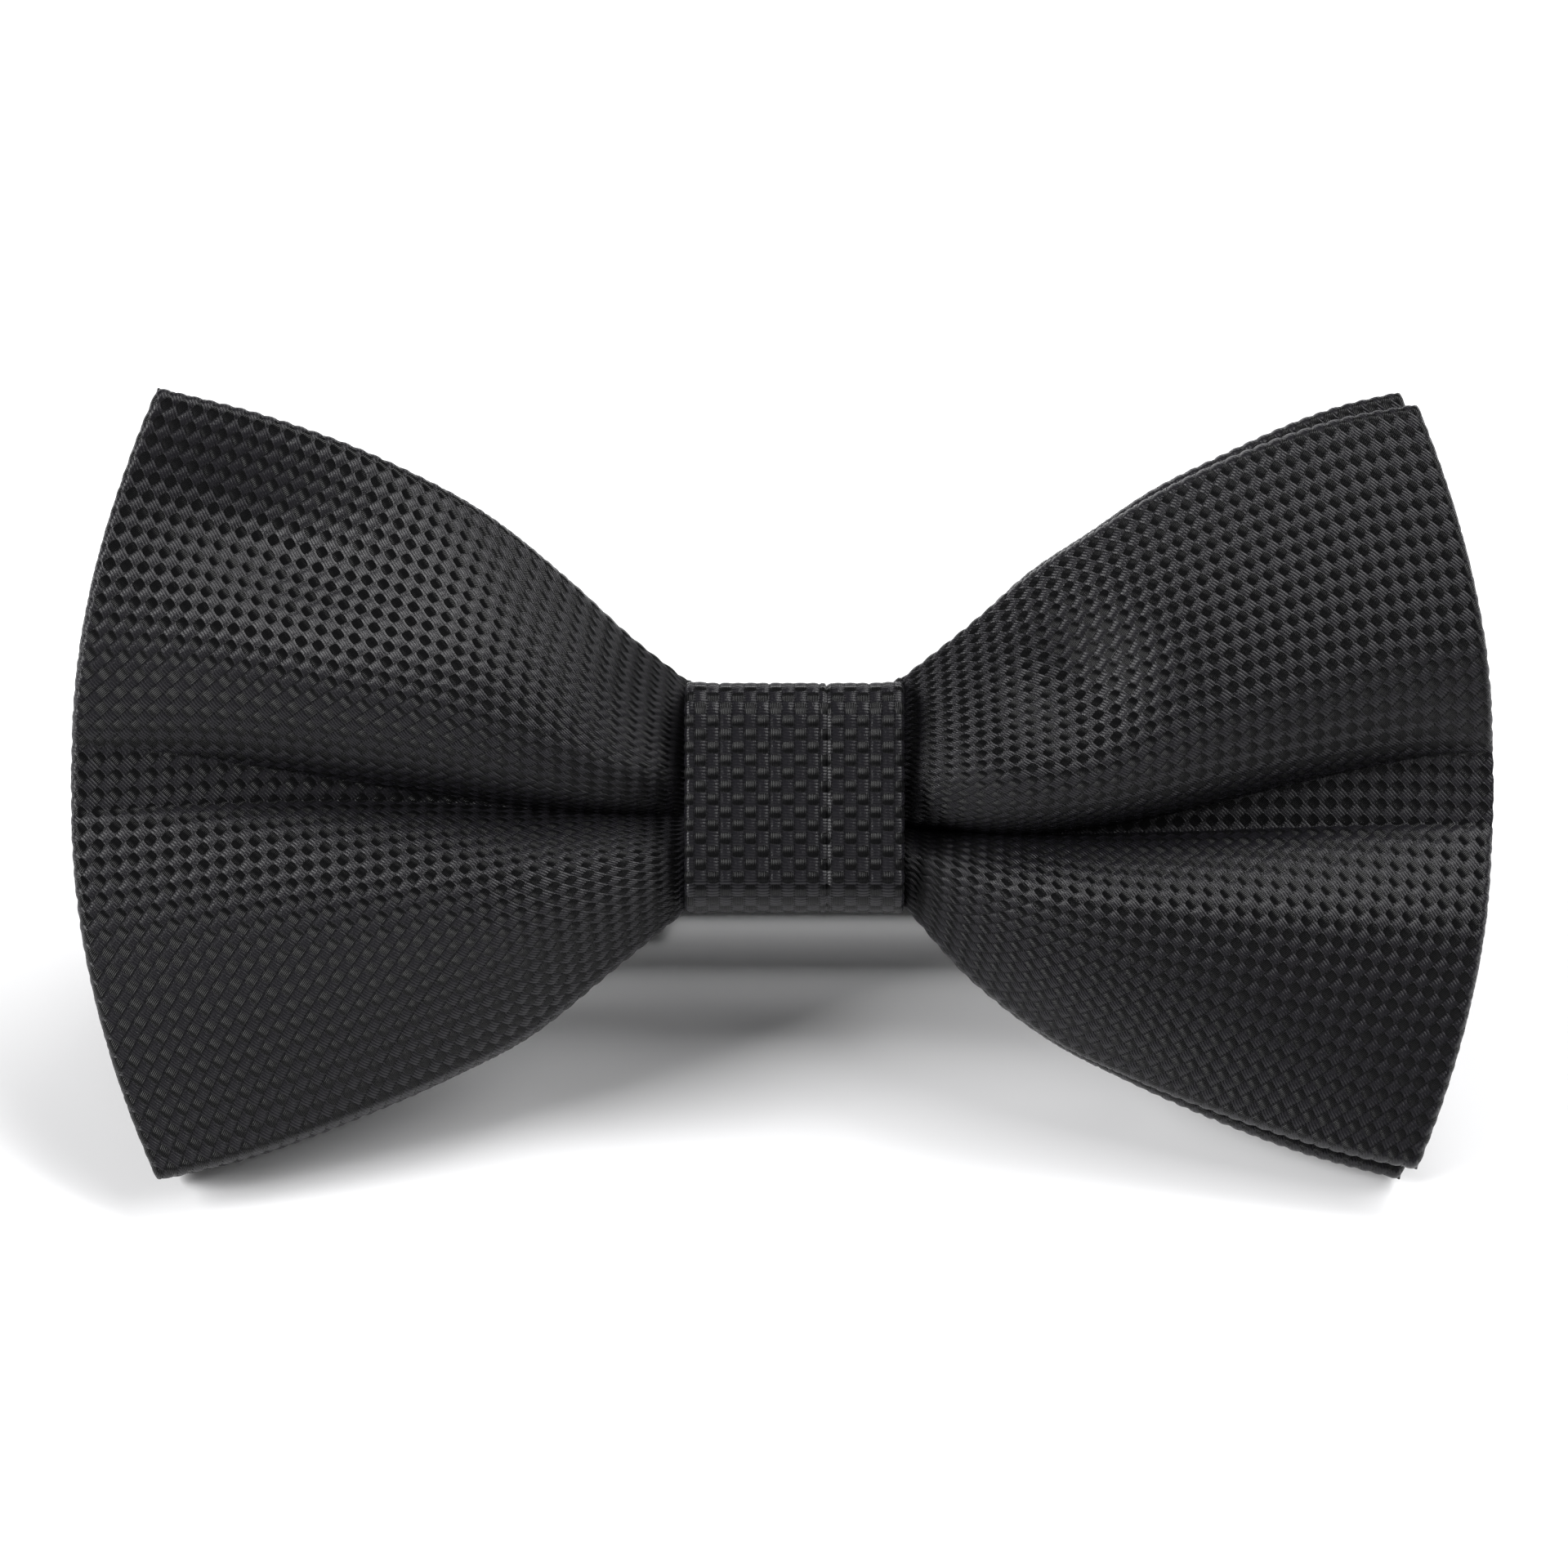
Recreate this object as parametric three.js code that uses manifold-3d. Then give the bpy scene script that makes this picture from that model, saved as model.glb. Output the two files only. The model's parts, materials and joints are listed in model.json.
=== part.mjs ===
// A pre-tied bow tie: two stacked bows of stiffened cloth pinched by a knot, on an adjustable neck band.
// Millimetres, +Z up. It leans back on its lower corners and on the neck band folded up behind it.
// Every piece is drawn in the bow's own frame: X to the right, Y to the back, Z up the face, with
// the origin in the middle of the knot. The last section leans that frame back and stands it on z = 0.
import * as THREE from "three";
import { mergeVertices } from "three/addons/utils/BufferGeometryUtils.js";
import Module from "manifold-3d";

const wasm = await Module();
wasm.setup();

// ---- Driving dimensions ----
const BOW_WIDTH = 120;
const BOW_HEIGHT = 66.6;
const KNOT_WIDTH = 18.2;
const KNOT_HEIGHT = 19.1;
const BAND_WIDTH = 13;

// Cloth
const GAP = 0.3; // air left between neighbouring layers
const PANEL = 0.8; // one turned and pressed layer of shell cloth
const INTERLINING = 0.5;
const BINDING = 0.6;
const KNOT_WALL = 1.0;
const WAIST_DEPTH = 3.3; // one bow where the knot pinches it
const BAND_THICKNESS = 1.2;

// Lobes: how far the cloth stands proud of its flat depth beside the knot, along a wing and at a tip
const FRONT_LOBES = { root: 1.8, swell: 6.2, tip: 0.5 };
const REAR_LOBES = { root: 0.4, swell: 0.7, tip: 0.2 };
const PLEAT_RISE = 0.05; // height of the pleat above the middle, as a share of the half height

// Neck band folds, measured in from the tips of the wings
const FOLD_INSET = 21;
const FIRST_TURN_INSET = 27;
const EYE_INSET = 39;
const SLIDE_FROM_FOLD = 24;
const LAYER_PITCH = 6.5;
const BAND_END = 14; // length of band turned back and sewn at the hook
const BAND_TAPER = 4; // where the turned-back band closes up beside the hook
const EYE_TURN_BACK = 3; // length of band carried past the eye's bar
const TAIL_LEAD = 6; // length of the sewn tail before the slide's bar
const TAIL_END = 8; // length of the sewn tail after it

// Fittings
const SIDE_CLEARANCE = 0.4; // beside the band
const SIDE_RAIL = 1.4;
const HOOK_PLATE = 1.0;
const HOOK_BAR_RADIUS = 0.6;
const HOOK_WINDOW = 2.6;
const HOOK_PLATE_LENGTH = 3;
const HOOK_TONGUE_WIDTH = 8;
const HOOK_TONGUE_LENGTH = 9;
const HOOK_CURL_RADIUS = 1.7;
const HOOK_CURL_END = 2; // from the plate to where the curl's lip begins
const HOOK_LIP = { length: 1.4, rise: 0.8 };
const EYE_THICKNESS = 1.6;
const EYE_BAR_RADIUS = 0.9;
const EYE_LENGTH = 8.1; // between the middles of its two bars
const SLIDE_BAR_RADIUS = 0.5;
const SLIDE_OUTER_BAR = 1.2;
const SLIDE_LENGTH = 12;

// Thread
const THREAD = 0.5;
const STITCH_ROW = 0.8;
const STITCH_MARGIN = 1.5; // from the edge of the band
const HOOK_STITCHES = { back: 10, half: 3 }; // from the bar to the frame's middle, and its half length
const SLIDE_STITCHES = { back: 3.4, half: 2.2 };

// Corners and margins of the knot
const KNOT_CORNER = 2;
const BINDING_CORNER = 0.8;
const BINDING_INSET = 2;
const KNOT_SHEET_MARGIN = 1;
const ROOT_RAMP = 0.4;
const ROOT_RISE = 0.4; // a wing stands this much above the knot beside it

// ---- Places that follow from the sizes ----
const HALF_WIDTH = BOW_WIDTH / 2;
const HALF_HEIGHT = BOW_HEIGHT / 2;
const KNOT_HALF_WIDTH = KNOT_WIDTH / 2;
const KNOT_HALF_HEIGHT = KNOT_HEIGHT / 2;
const KNOT_INNER_HALF = KNOT_HALF_HEIGHT - KNOT_WALL;
const WAIST_HALF_HEIGHT = KNOT_INNER_HALF - GAP - BINDING - GAP;
const ROOT_X = KNOT_HALF_WIDTH + GAP + ROOT_RAMP; // where a wing reaches its full height beside the knot
const WAIST_X = KNOT_HALF_WIDTH - GAP;
const FLAT_DEPTH = PANEL + GAP + INTERLINING + GAP + PANEL;

// Layers through the knot, front to back, from the plane between the two bows
const WAIST_FACE = GAP / 2 + WAIST_DEPTH;
const BINDING_INNER = WAIST_FACE + GAP;
const BINDING_OUTER = BINDING_INNER + BINDING;
const KNOT_FRONT_INNER = -(BINDING_OUTER + GAP + INTERLINING + GAP);
const BAND_FRONT = BINDING_OUTER + GAP;
const KNOT_REAR_INNER = BAND_FRONT + BAND_THICKNESS + GAP;
const BAND_HALF = BAND_THICKNESS / 2;
const BAND_HALF_WIDTH = BAND_WIDTH / 2;

// ---- Helpers ----
function asSolid(geometry) {
  const bare = geometry.clone();
  bare.deleteAttribute("normal");
  bare.deleteAttribute("uv");
  const merged = mergeVertices(bare, 1e-5);
  return new wasm.Manifold(
    new wasm.Mesh({
      numProp: 3,
      vertProperties: new Float32Array(merged.attributes.position.array),
      triVerts: new Uint32Array(merged.index.array),
    }),
  );
}

function asGeometry(solid) {
  const mesh = solid.getMesh();
  const geometry = new THREE.BufferGeometry();
  geometry.setAttribute("position", new THREE.BufferAttribute(mesh.vertProperties, 3));
  geometry.setIndex(new THREE.BufferAttribute(mesh.triVerts, 1));
  geometry.computeVertexNormals();
  return geometry;
}

function joined(...geometries) {
  const solids = geometries.map(asSolid);
  return asGeometry(solids.reduce((whole, next) => whole.add(next)));
}

// The outside of the filled cells of a grid of cells. i runs to +X, j up and k to the front.
const CELL_FACES = [
  { step: [1, 0, 0], corners: [[1, 0, 0], [1, 1, 0], [1, 1, 1], [1, 0, 1]] },
  { step: [-1, 0, 0], corners: [[0, 0, 0], [0, 0, 1], [0, 1, 1], [0, 1, 0]] },
  { step: [0, 1, 0], corners: [[0, 1, 0], [0, 1, 1], [1, 1, 1], [1, 1, 0]] },
  { step: [0, -1, 0], corners: [[0, 0, 0], [1, 0, 0], [1, 0, 1], [0, 0, 1]] },
  { step: [0, 0, 1], corners: [[0, 0, 1], [1, 0, 1], [1, 1, 1], [0, 1, 1]] },
  { step: [0, 0, -1], corners: [[0, 0, 0], [0, 1, 0], [1, 1, 0], [1, 0, 0]] },
];

function cellBody([ni, nj, nk], pointAt, filled) {
  const positions = [];
  const index = [];
  const numbers = new Map();
  const inside = (i, j, k) => i >= 0 && j >= 0 && k >= 0 && i < ni && j < nj && k < nk;
  const isFilled = (i, j, k) => inside(i, j, k) && filled(i, j, k);
  const vertex = (i, j, k) => {
    const key = (i * (nj + 1) + j) * (nk + 1) + k;
    if (!numbers.has(key)) {
      numbers.set(key, numbers.size);
      positions.push(...pointAt(i, j, k));
    }
    return numbers.get(key);
  };
  for (let i = 0; i < ni; i++)
    for (let j = 0; j < nj; j++)
      for (let k = 0; k < nk; k++) {
        if (!isFilled(i, j, k)) continue;
        for (const { step, corners } of CELL_FACES) {
          if (isFilled(i + step[0], j + step[1], k + step[2])) continue;
          const [a, b, c, d] = corners.map(([u, v, w]) => vertex(i + u, j + v, k + w));
          index.push(a, b, c, a, c, d);
        }
      }
  const geometry = new THREE.BufferGeometry();
  geometry.setAttribute("position", new THREE.Float32BufferAttribute(positions, 3));
  geometry.setIndex(index);
  geometry.computeVertexNormals();
  return geometry;
}

// A strip on edge: a route in plan, given a thickness and a width up the bow.
function strip(route, thickness, width, divisions = 6) {
  const points = route.getPoints(divisions).filter((p, i, all) => !i || p.distanceTo(all[i - 1]) > 1e-4);
  const sides = [[], []];
  points.forEach((point, i) => {
    const before = points[Math.max(i - 1, 0)];
    const after = points[Math.min(i + 1, points.length - 1)];
    const along = after.clone().sub(before).normalize();
    const across = new THREE.Vector2(-along.y, along.x).multiplyScalar(thickness / 2);
    sides[0].push(point.clone().add(across));
    sides[1].push(point.clone().sub(across));
  });
  const outline = new THREE.Shape([...sides[0], ...sides[1].reverse()]);
  const geometry = new THREE.ExtrudeGeometry(outline, { depth: width, bevelEnabled: false });
  return geometry.translate(0, 0, -width / 2);
}

// An upright round bar at a place in plan.
function bar(x, y, radius, height) {
  return new THREE.CylinderGeometry(radius, radius, height, 14).rotateX(Math.PI / 2).translate(x, y, 0);
}

function block([x0, x1], [y0, y1], [z0, z1]) {
  const box = new THREE.BoxGeometry(x1 - x0, y1 - y0, z1 - z0);
  return box.translate((x0 + x1) / 2, (y0 + y1) / 2, (z0 + z1) / 2);
}

// A rounded rectangle about the origin, from its half sizes.
function roundedRectangle(Kind, halfX, halfY, radius) {
  const shape = new Kind();
  shape.absarc(halfX - radius, halfY - radius, radius, 0, Math.PI / 2);
  shape.absarc(radius - halfX, halfY - radius, radius, Math.PI / 2, Math.PI);
  shape.absarc(radius - halfX, radius - halfY, radius, Math.PI, 1.5 * Math.PI);
  shape.absarc(halfX - radius, radius - halfY, radius, 1.5 * Math.PI, 2 * Math.PI);
  return shape;
}

const object = new THREE.Group();

function addPiece(name, geometry, { color, roughness, metalness = 0 }) {
  const mesh = new THREE.Mesh(geometry, new THREE.MeshStandardMaterial({ color, roughness, metalness }));
  mesh.name = name;
  object.add(mesh);
}

const shellCloth = { color: 0x1d1d20, roughness: 0.55 };
const interliningCloth = { color: 0xd8d4ca, roughness: 0.95 };
const bindingCloth = { color: 0x232326, roughness: 0.85 };
const bandSatin = { color: 0x161618, roughness: 0.5 };
const thread = { color: 0x0f0f11, roughness: 0.6 };
const blackMetal = { color: 0x1b1b1e, roughness: 0.35, metalness: 0.9 };

// ---- The two bows ----
// A wing is a panel with a straight root at the knot, edges that flare to two corners, and a tip
// that bows out between them. out, top and bottom are what the tip and the corners add to the bow's
// half width and half height, and powers set how early the top and bottom edges flare.
function wing(out, sag, top, bottom, powers) {
  return { reach: HALF_WIDTH + out, sag, top: HALF_HEIGHT + top, bottom: HALF_HEIGHT + bottom, powers };
}
const FRONT_WINGS = {
  left: wing(1, 7.3, 1.1, -1.2, [1.6, 1.65]),
  right: wing(-1, 6.5, -0.1, -2.1, [1.5, 1.75]),
};
const REAR_WINGS = {
  left: wing(-0.5, 6.6, 0.5, -1, [1.6, 1.65]),
  right: wing(-2.4, 6.3, 0.9, -1, [1.5, 1.8]),
};

const WING_CELLS = 9;
const ROWS = [-1, -0.8, -0.58, -0.36, -0.16, 0, 0.16, 0.36, 0.58, 0.8, 1];
const ROW_COUNT = ROWS.length - 1;

// Columns from the left tip to the right tip: a wall of cloth, the wing, the root, and the waist.
function columns() {
  const inwards = [{ share: 1, inset: 0 }, { share: 1, inset: PANEL }];
  for (let n = WING_CELLS - 1; n >= 0; n--) inwards.push({ share: n / WING_CELLS, inset: 0 });
  const left = inwards.map((column) => ({ side: "left", sign: -1, ...column }));
  const right = inwards.map((column) => ({ side: "right", sign: 1, ...column })).reverse();
  const waist = [-WAIST_X, -PANEL, PANEL, WAIST_X].map((x) => ({ waistX: x }));
  return [...left, ...waist, ...right];
}
const COLUMNS = columns();
const COLUMN_COUNT = COLUMNS.length - 1;
const WAIST_CELL = COLUMN_COUNT / 2 - 0.5;

// A row's height between the bottom and top edges, with a wall of cloth along both edges.
function heightAt(row, low, high) {
  if (row === 1) return low + PANEL;
  if (row === ROW_COUNT - 1) return high - PANEL;
  return low + ((high - low) * (ROWS[row] + 1)) / 2;
}

function bowPlace(wings, column, row) {
  const { waistX, side, sign, share, inset } = column;
  if (waistX !== undefined) return { x: waistX, z: heightAt(row, -WAIST_HALF_HEIGHT, WAIST_HALF_HEIGHT) };
  const { reach, sag, top, bottom, powers } = wings[side];
  const flare = powers.map((power) => 1 - (1 - share) ** power);
  const root = KNOT_HALF_HEIGHT + ROOT_RISE;
  const high = root + (top - root) * flare[0];
  const low = -(root + (bottom - root) * flare[1]);
  const tip = reach - sag * ROWS[row] ** 2 - inset;
  return { x: sign * (ROOT_X + (tip - ROOT_X) * share), z: heightAt(row, low, high) };
}

// How far a lobe stands out at a share of the wing's length and a row of its height.
function puffAt(share, row, lobes) {
  const v = ROWS[row];
  const across = v > PLEAT_RISE ? (v - PLEAT_RISE) / (1 - PLEAT_RISE) : (PLEAT_RISE - v) / (1 + PLEAT_RISE);
  const ends = lobes.root * (1 - share) + lobes.tip * share;
  const swell = ends + lobes.swell * Math.sin(Math.PI * share ** 0.7);
  return swell * Math.sin(Math.PI * Math.min(1, Math.max(0, across))) ** 0.8;
}

// A bow's near and far faces, as depths from the plane between the two bows.
function bowDepths(column, row, lobes) {
  if (column.waistX !== undefined) return [GAP / 2, WAIST_FACE];
  return [GAP / 2, GAP / 2 + FLAT_DEPTH + puffAt(column.share, row, lobes)];
}

// facing is -1 for the front bow and 1 for the rear one.
function bowShell(wings, facing, lobes) {
  const pointAt = (i, j, k) => {
    const { x, z } = bowPlace(wings, COLUMNS[i], j);
    const [near, far] = bowDepths(COLUMNS[i], j, lobes);
    const layers = [near, near + PANEL, far - PANEL, far];
    return [x, facing * layers[facing < 0 ? k : 3 - k], z];
  };
  // The hollow for the interlining opens at the seam in the middle of the back panel.
  const innerPanel = facing < 0 ? 0 : 2;
  const filled = (i, j, k) => {
    const edge = i === 0 || j === 0 || i === COLUMN_COUNT - 1 || j === ROW_COUNT - 1;
    if (k === 1) return edge;
    return !(k === innerPanel && i === WAIST_CELL && !edge);
  };
  return cellBody([COLUMN_COUNT, ROW_COUNT, 3], pointAt, filled);
}

function bowInterlining(wings, facing, lobes) {
  const firstRow = 1;
  const lastRow = ROW_COUNT - 1;
  const pointAt = (i, j, k) => {
    const column = COLUMNS[i + 1];
    const row = j + firstRow;
    const { x, z } = bowPlace(wings, column, row);
    const far = bowDepths(column, row, lobes)[1] - PANEL - GAP;
    const layers = [far - INTERLINING, far];
    const atEnd = (i === 0 && GAP) || (i === COLUMN_COUNT - 2 && -GAP) || 0;
    const atEdge = (row === firstRow && GAP) || (row === lastRow && -GAP) || 0;
    return [x + atEnd, facing * layers[facing < 0 ? k : 1 - k], z + atEdge];
  };
  return cellBody([COLUMN_COUNT - 2, lastRow - firstRow, 1], pointAt, () => true);
}

addPiece("front_bow_shell", bowShell(FRONT_WINGS, -1, FRONT_LOBES), shellCloth);
addPiece("front_bow_interlining", bowInterlining(FRONT_WINGS, -1, FRONT_LOBES), interliningCloth);
addPiece("rear_bow_shell", bowShell(REAR_WINGS, 1, REAR_LOBES), shellCloth);
addPiece("rear_bow_interlining", bowInterlining(REAR_WINGS, 1, REAR_LOBES), interliningCloth);

// ---- The waist binding and the knot ----
// A closed band round the waist: a ring in the YZ plane, carried along X.
function ringAlongX(outer, wall, halfLength, radius) {
  const [low, high] = outer.y;
  const halfY = (high - low) / 2;
  const ring = roundedRectangle(THREE.Shape, halfY, outer.halfZ, radius);
  const innerRadius = Math.max(radius - wall, 0.2);
  ring.holes.push(roundedRectangle(THREE.Path, halfY - wall, outer.halfZ - wall, innerRadius));
  const settings = { depth: 2 * halfLength, bevelEnabled: false, curveSegments: 4 };
  const geometry = new THREE.ExtrudeGeometry(ring, settings);
  geometry.applyMatrix4(new THREE.Matrix4().makeBasis(
    new THREE.Vector3(0, 1, 0),
    new THREE.Vector3(0, 0, 1),
    new THREE.Vector3(1, 0, 0),
  ));
  return geometry.translate(-halfLength, (low + high) / 2, 0);
}

const bindingRing = { y: [-BINDING_OUTER, BINDING_OUTER], halfZ: WAIST_HALF_HEIGHT + GAP + BINDING };
const BINDING_HALF_LENGTH = KNOT_HALF_WIDTH - BINDING_INSET;
addPiece("waist_binding", ringAlongX(bindingRing, BINDING, BINDING_HALF_LENGTH, BINDING_CORNER), bindingCloth);

const KNOT_FRONT = KNOT_FRONT_INNER - KNOT_WALL;
const KNOT_REAR = KNOT_REAR_INNER + KNOT_WALL;
const knotRing = { y: [KNOT_FRONT, KNOT_REAR], halfZ: KNOT_HALF_HEIGHT };
addPiece("knot_band", ringAlongX(knotRing, KNOT_WALL, KNOT_HALF_WIDTH, KNOT_CORNER), shellCloth);

const KNOT_SHEET_HALF = KNOT_INNER_HALF - KNOT_SHEET_MARGIN;
addPiece(
  "knot_interlining",
  block(
    [-WAIST_X, WAIST_X],
    [KNOT_FRONT_INNER + GAP, KNOT_FRONT_INNER + GAP + INTERLINING],
    [-KNOT_SHEET_HALF, KNOT_SHEET_HALF],
  ),
  interliningCloth,
);

addPiece(
  "knot_seam_thread",
  block(
    [-STITCH_ROW / 2, STITCH_ROW / 2],
    [KNOT_REAR + GAP, KNOT_REAR + GAP + THREAD],
    [-KNOT_SHEET_HALF, KNOT_SHEET_HALF],
  ),
  thread,
);

// ---- The neck band, folded in four layers behind the bow ----
const LAYER_0 = BAND_FRONT + BAND_HALF;
const LAYER_1 = LAYER_0 + LAYER_PITCH;
const LAYER_2 = LAYER_1 + LAYER_PITCH;
const LAYER_3 = LAYER_2 + LAYER_PITCH;
const TURN_RADIUS = LAYER_PITCH / 2;
const WRAP_RADIUS = (LAYER_3 - LAYER_0) / 2;
const LEFT_FOLD_X = -(FRONT_WINGS.left.reach - FOLD_INSET);
const FIRST_TURN_X = FRONT_WINGS.right.reach - FIRST_TURN_INSET;
const HOOK_X = FRONT_WINGS.right.reach - FOLD_INSET;
const EYE_X = FRONT_WINGS.right.reach - EYE_INSET;
const SLIDE_X = LEFT_FOLD_X + SLIDE_FROM_FOLD;

// Loops of band round the bars of the fittings, as radii of the band's middle line
const HOOK_LOOP = HOOK_BAR_RADIUS + GAP + BAND_HALF;
const SLIDE_LOOP = SLIDE_BAR_RADIUS + GAP + BAND_HALF;
const RETURN_Y = LAYER_3 + BAND_THICKNESS + GAP + 2 * SLIDE_LOOP;
const EYE_LOOP = (RETURN_Y - LAYER_3) / 2;
const HOOK_Y = LAYER_2 - HOOK_LOOP;
const EYE_Y = LAYER_3 + EYE_LOOP;
const SLIDE_Y = RETURN_Y - SLIDE_LOOP;
const LYING_PITCH = BAND_THICKNESS + GAP; // band lying on band
const UP = Math.PI / 2;

const bandRoute = new THREE.Path();
bandRoute.moveTo(HOOK_X - BAND_END, LAYER_2 - LYING_PITCH);
bandRoute.lineTo(HOOK_X - BAND_TAPER, LAYER_2 - LYING_PITCH);
bandRoute.lineTo(HOOK_X, LAYER_2 - 2 * HOOK_LOOP);
bandRoute.absarc(HOOK_X, HOOK_Y, HOOK_LOOP, -UP, UP, false);
bandRoute.lineTo(LEFT_FOLD_X, LAYER_2);
bandRoute.absarc(LEFT_FOLD_X, LAYER_1 + TURN_RADIUS, TURN_RADIUS, UP, 3 * UP, false);
bandRoute.lineTo(FIRST_TURN_X, LAYER_1);
bandRoute.absarc(FIRST_TURN_X, LAYER_0 + TURN_RADIUS, TURN_RADIUS, UP, -UP, true);
bandRoute.lineTo(LEFT_FOLD_X, LAYER_0);
bandRoute.absarc(LEFT_FOLD_X, LAYER_0 + WRAP_RADIUS, WRAP_RADIUS, -UP, -3 * UP, true);
bandRoute.lineTo(EYE_X, LAYER_3);
bandRoute.absarc(EYE_X, EYE_Y, EYE_LOOP, -UP, UP, false);
bandRoute.lineTo(EYE_X - EYE_TURN_BACK, RETURN_Y);
addPiece("neck_band", strip(bandRoute, BAND_THICKNESS, BAND_WIDTH), bandSatin);

// The returning strand shortens as the slide travels, and the tail goes with the slide.
const TAIL_OUTER_X = SLIDE_X + TAIL_LEAD;
const returnRoute = new THREE.Path();
returnRoute.moveTo(TAIL_OUTER_X + GAP, RETURN_Y);
returnRoute.lineTo(EYE_X - EYE_TURN_BACK - GAP, RETURN_Y);
addPiece("neck_band_return", strip(returnRoute, BAND_THICKNESS, BAND_WIDTH), bandSatin);

const tailRoute = new THREE.Path();
tailRoute.moveTo(TAIL_OUTER_X, RETURN_Y);
tailRoute.lineTo(SLIDE_X, RETURN_Y);
tailRoute.absarc(SLIDE_X, SLIDE_Y, SLIDE_LOOP, UP, 3 * UP, false);
tailRoute.lineTo(SLIDE_X + TAIL_END, SLIDE_Y - SLIDE_LOOP);
addPiece("neck_band_tail", strip(tailRoute, BAND_THICKNESS, BAND_WIDTH), bandSatin);

// A frame of stitches lying on the band, from its middle, its half length and its front face.
function stitchFrame(x, halfX, nearFace) {
  const halfZ = BAND_HALF_WIDTH - STITCH_MARGIN;
  const frame = roundedRectangle(THREE.Shape, halfX, halfZ, STITCH_ROW / 2);
  frame.holes.push(roundedRectangle(THREE.Path, halfX - STITCH_ROW, halfZ - STITCH_ROW, STITCH_ROW / 4));
  const geometry = new THREE.ExtrudeGeometry(frame, { depth: THREAD, bevelEnabled: false, curveSegments: 2 });
  return geometry.rotateX(UP).translate(x, nearFace + THREAD, 0);
}

const hookEndFace = LAYER_2 - LYING_PITCH - BAND_HALF - GAP - THREAD;
const hookStitchX = HOOK_X - HOOK_STITCHES.back;
addPiece("hook_end_stitching", stitchFrame(hookStitchX, HOOK_STITCHES.half, hookEndFace), thread);
const tailFace = RETURN_Y + BAND_HALF + GAP;
const tailStitchX = SLIDE_X + SLIDE_STITCHES.back;
addPiece("tail_stitching", stitchFrame(tailStitchX, SLIDE_STITCHES.half, tailFace), thread);

// ---- The fittings of the neck band ----
const RAIL_INNER = BAND_HALF_WIDTH + SIDE_CLEARANCE;
const RAIL_OUTER = RAIL_INNER + SIDE_RAIL;

// Rails above and below the band, shared by the three fittings.
function rails(xs, ys) {
  return [block(xs, ys, [RAIL_INNER, RAIL_OUTER]), block(xs, ys, [-RAIL_OUTER, -RAIL_INNER])];
}

function hook() {
  const plateY = [HOOK_Y - HOOK_PLATE / 2, HOOK_Y + HOOK_PLATE / 2];
  const windowEnd = HOOK_X + HOOK_WINDOW;
  const plateEnd = windowEnd + HOOK_PLATE_LENGTH;
  const tongueTip = plateEnd + HOOK_TONGUE_LENGTH - HOOK_CURL_RADIUS;
  const curlY = HOOK_Y + 2 * HOOK_CURL_RADIUS;
  const tongue = new THREE.Path();
  tongue.moveTo(plateEnd - HOOK_PLATE, HOOK_Y);
  tongue.lineTo(tongueTip, HOOK_Y);
  tongue.absarc(tongueTip, HOOK_Y + HOOK_CURL_RADIUS, HOOK_CURL_RADIUS, -UP, UP, false);
  tongue.lineTo(plateEnd + HOOK_CURL_END, curlY);
  tongue.lineTo(plateEnd + HOOK_CURL_END - HOOK_LIP.length, curlY + HOOK_LIP.rise);
  return joined(
    bar(HOOK_X, HOOK_Y, HOOK_BAR_RADIUS, 2 * RAIL_INNER + SIDE_RAIL),
    ...rails([HOOK_X - HOOK_BAR_RADIUS, plateEnd], plateY),
    block([windowEnd, plateEnd], plateY, [-RAIL_INNER - SIDE_RAIL / 2, RAIL_INNER + SIDE_RAIL / 2]),
    strip(tongue, HOOK_PLATE, HOOK_TONGUE_WIDTH),
  );
}
addPiece("band_hook", hook(), blackMetal);

function eye() {
  const thickness = [EYE_Y - EYE_THICKNESS / 2, EYE_Y + EYE_THICKNESS / 2];
  const farX = EYE_X + EYE_LENGTH;
  const barHeight = 2 * RAIL_INNER + SIDE_RAIL;
  return joined(
    bar(EYE_X, EYE_Y, EYE_BAR_RADIUS, barHeight),
    bar(farX, EYE_Y, EYE_BAR_RADIUS, barHeight),
    ...rails([EYE_X - EYE_BAR_RADIUS, farX + EYE_BAR_RADIUS], thickness),
  );
}
addPiece("band_eye", eye(), blackMetal);

// The middle bar holds the sewn tail behind the band; the outer bars run in front of it.
function slide() {
  const front = LAYER_3 - BAND_HALF - GAP - SLIDE_OUTER_BAR;
  const rear = SLIDE_Y + SLIDE_BAR_RADIUS;
  const xs = [SLIDE_X - SLIDE_LENGTH / 2, SLIDE_X + SLIDE_LENGTH / 2];
  const barHeight = RAIL_INNER + SIDE_RAIL / 2;
  const outerY = [front, front + SLIDE_OUTER_BAR];
  const outerBar = (x) => block([x, x + SLIDE_OUTER_BAR], outerY, [-barHeight, barHeight]);
  return joined(
    bar(SLIDE_X, SLIDE_Y, SLIDE_BAR_RADIUS, 2 * barHeight),
    ...rails(xs, [front, rear]),
    outerBar(xs[0]),
    outerBar(xs[1] - SLIDE_OUTER_BAR),
  );
}
addPiece("band_slide", slide(), blackMetal);

// ---- Leaning back on the table ----
// The bow rests on its lowest corners and on whatever behind them meets the table first.
function sideView(mesh) {
  const { array } = mesh.geometry.attributes.position;
  const points = [];
  for (let n = 0; n < array.length; n += 3) points.push(new THREE.Vector2(array[n + 1], array[n + 2]));
  return points;
}

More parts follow.
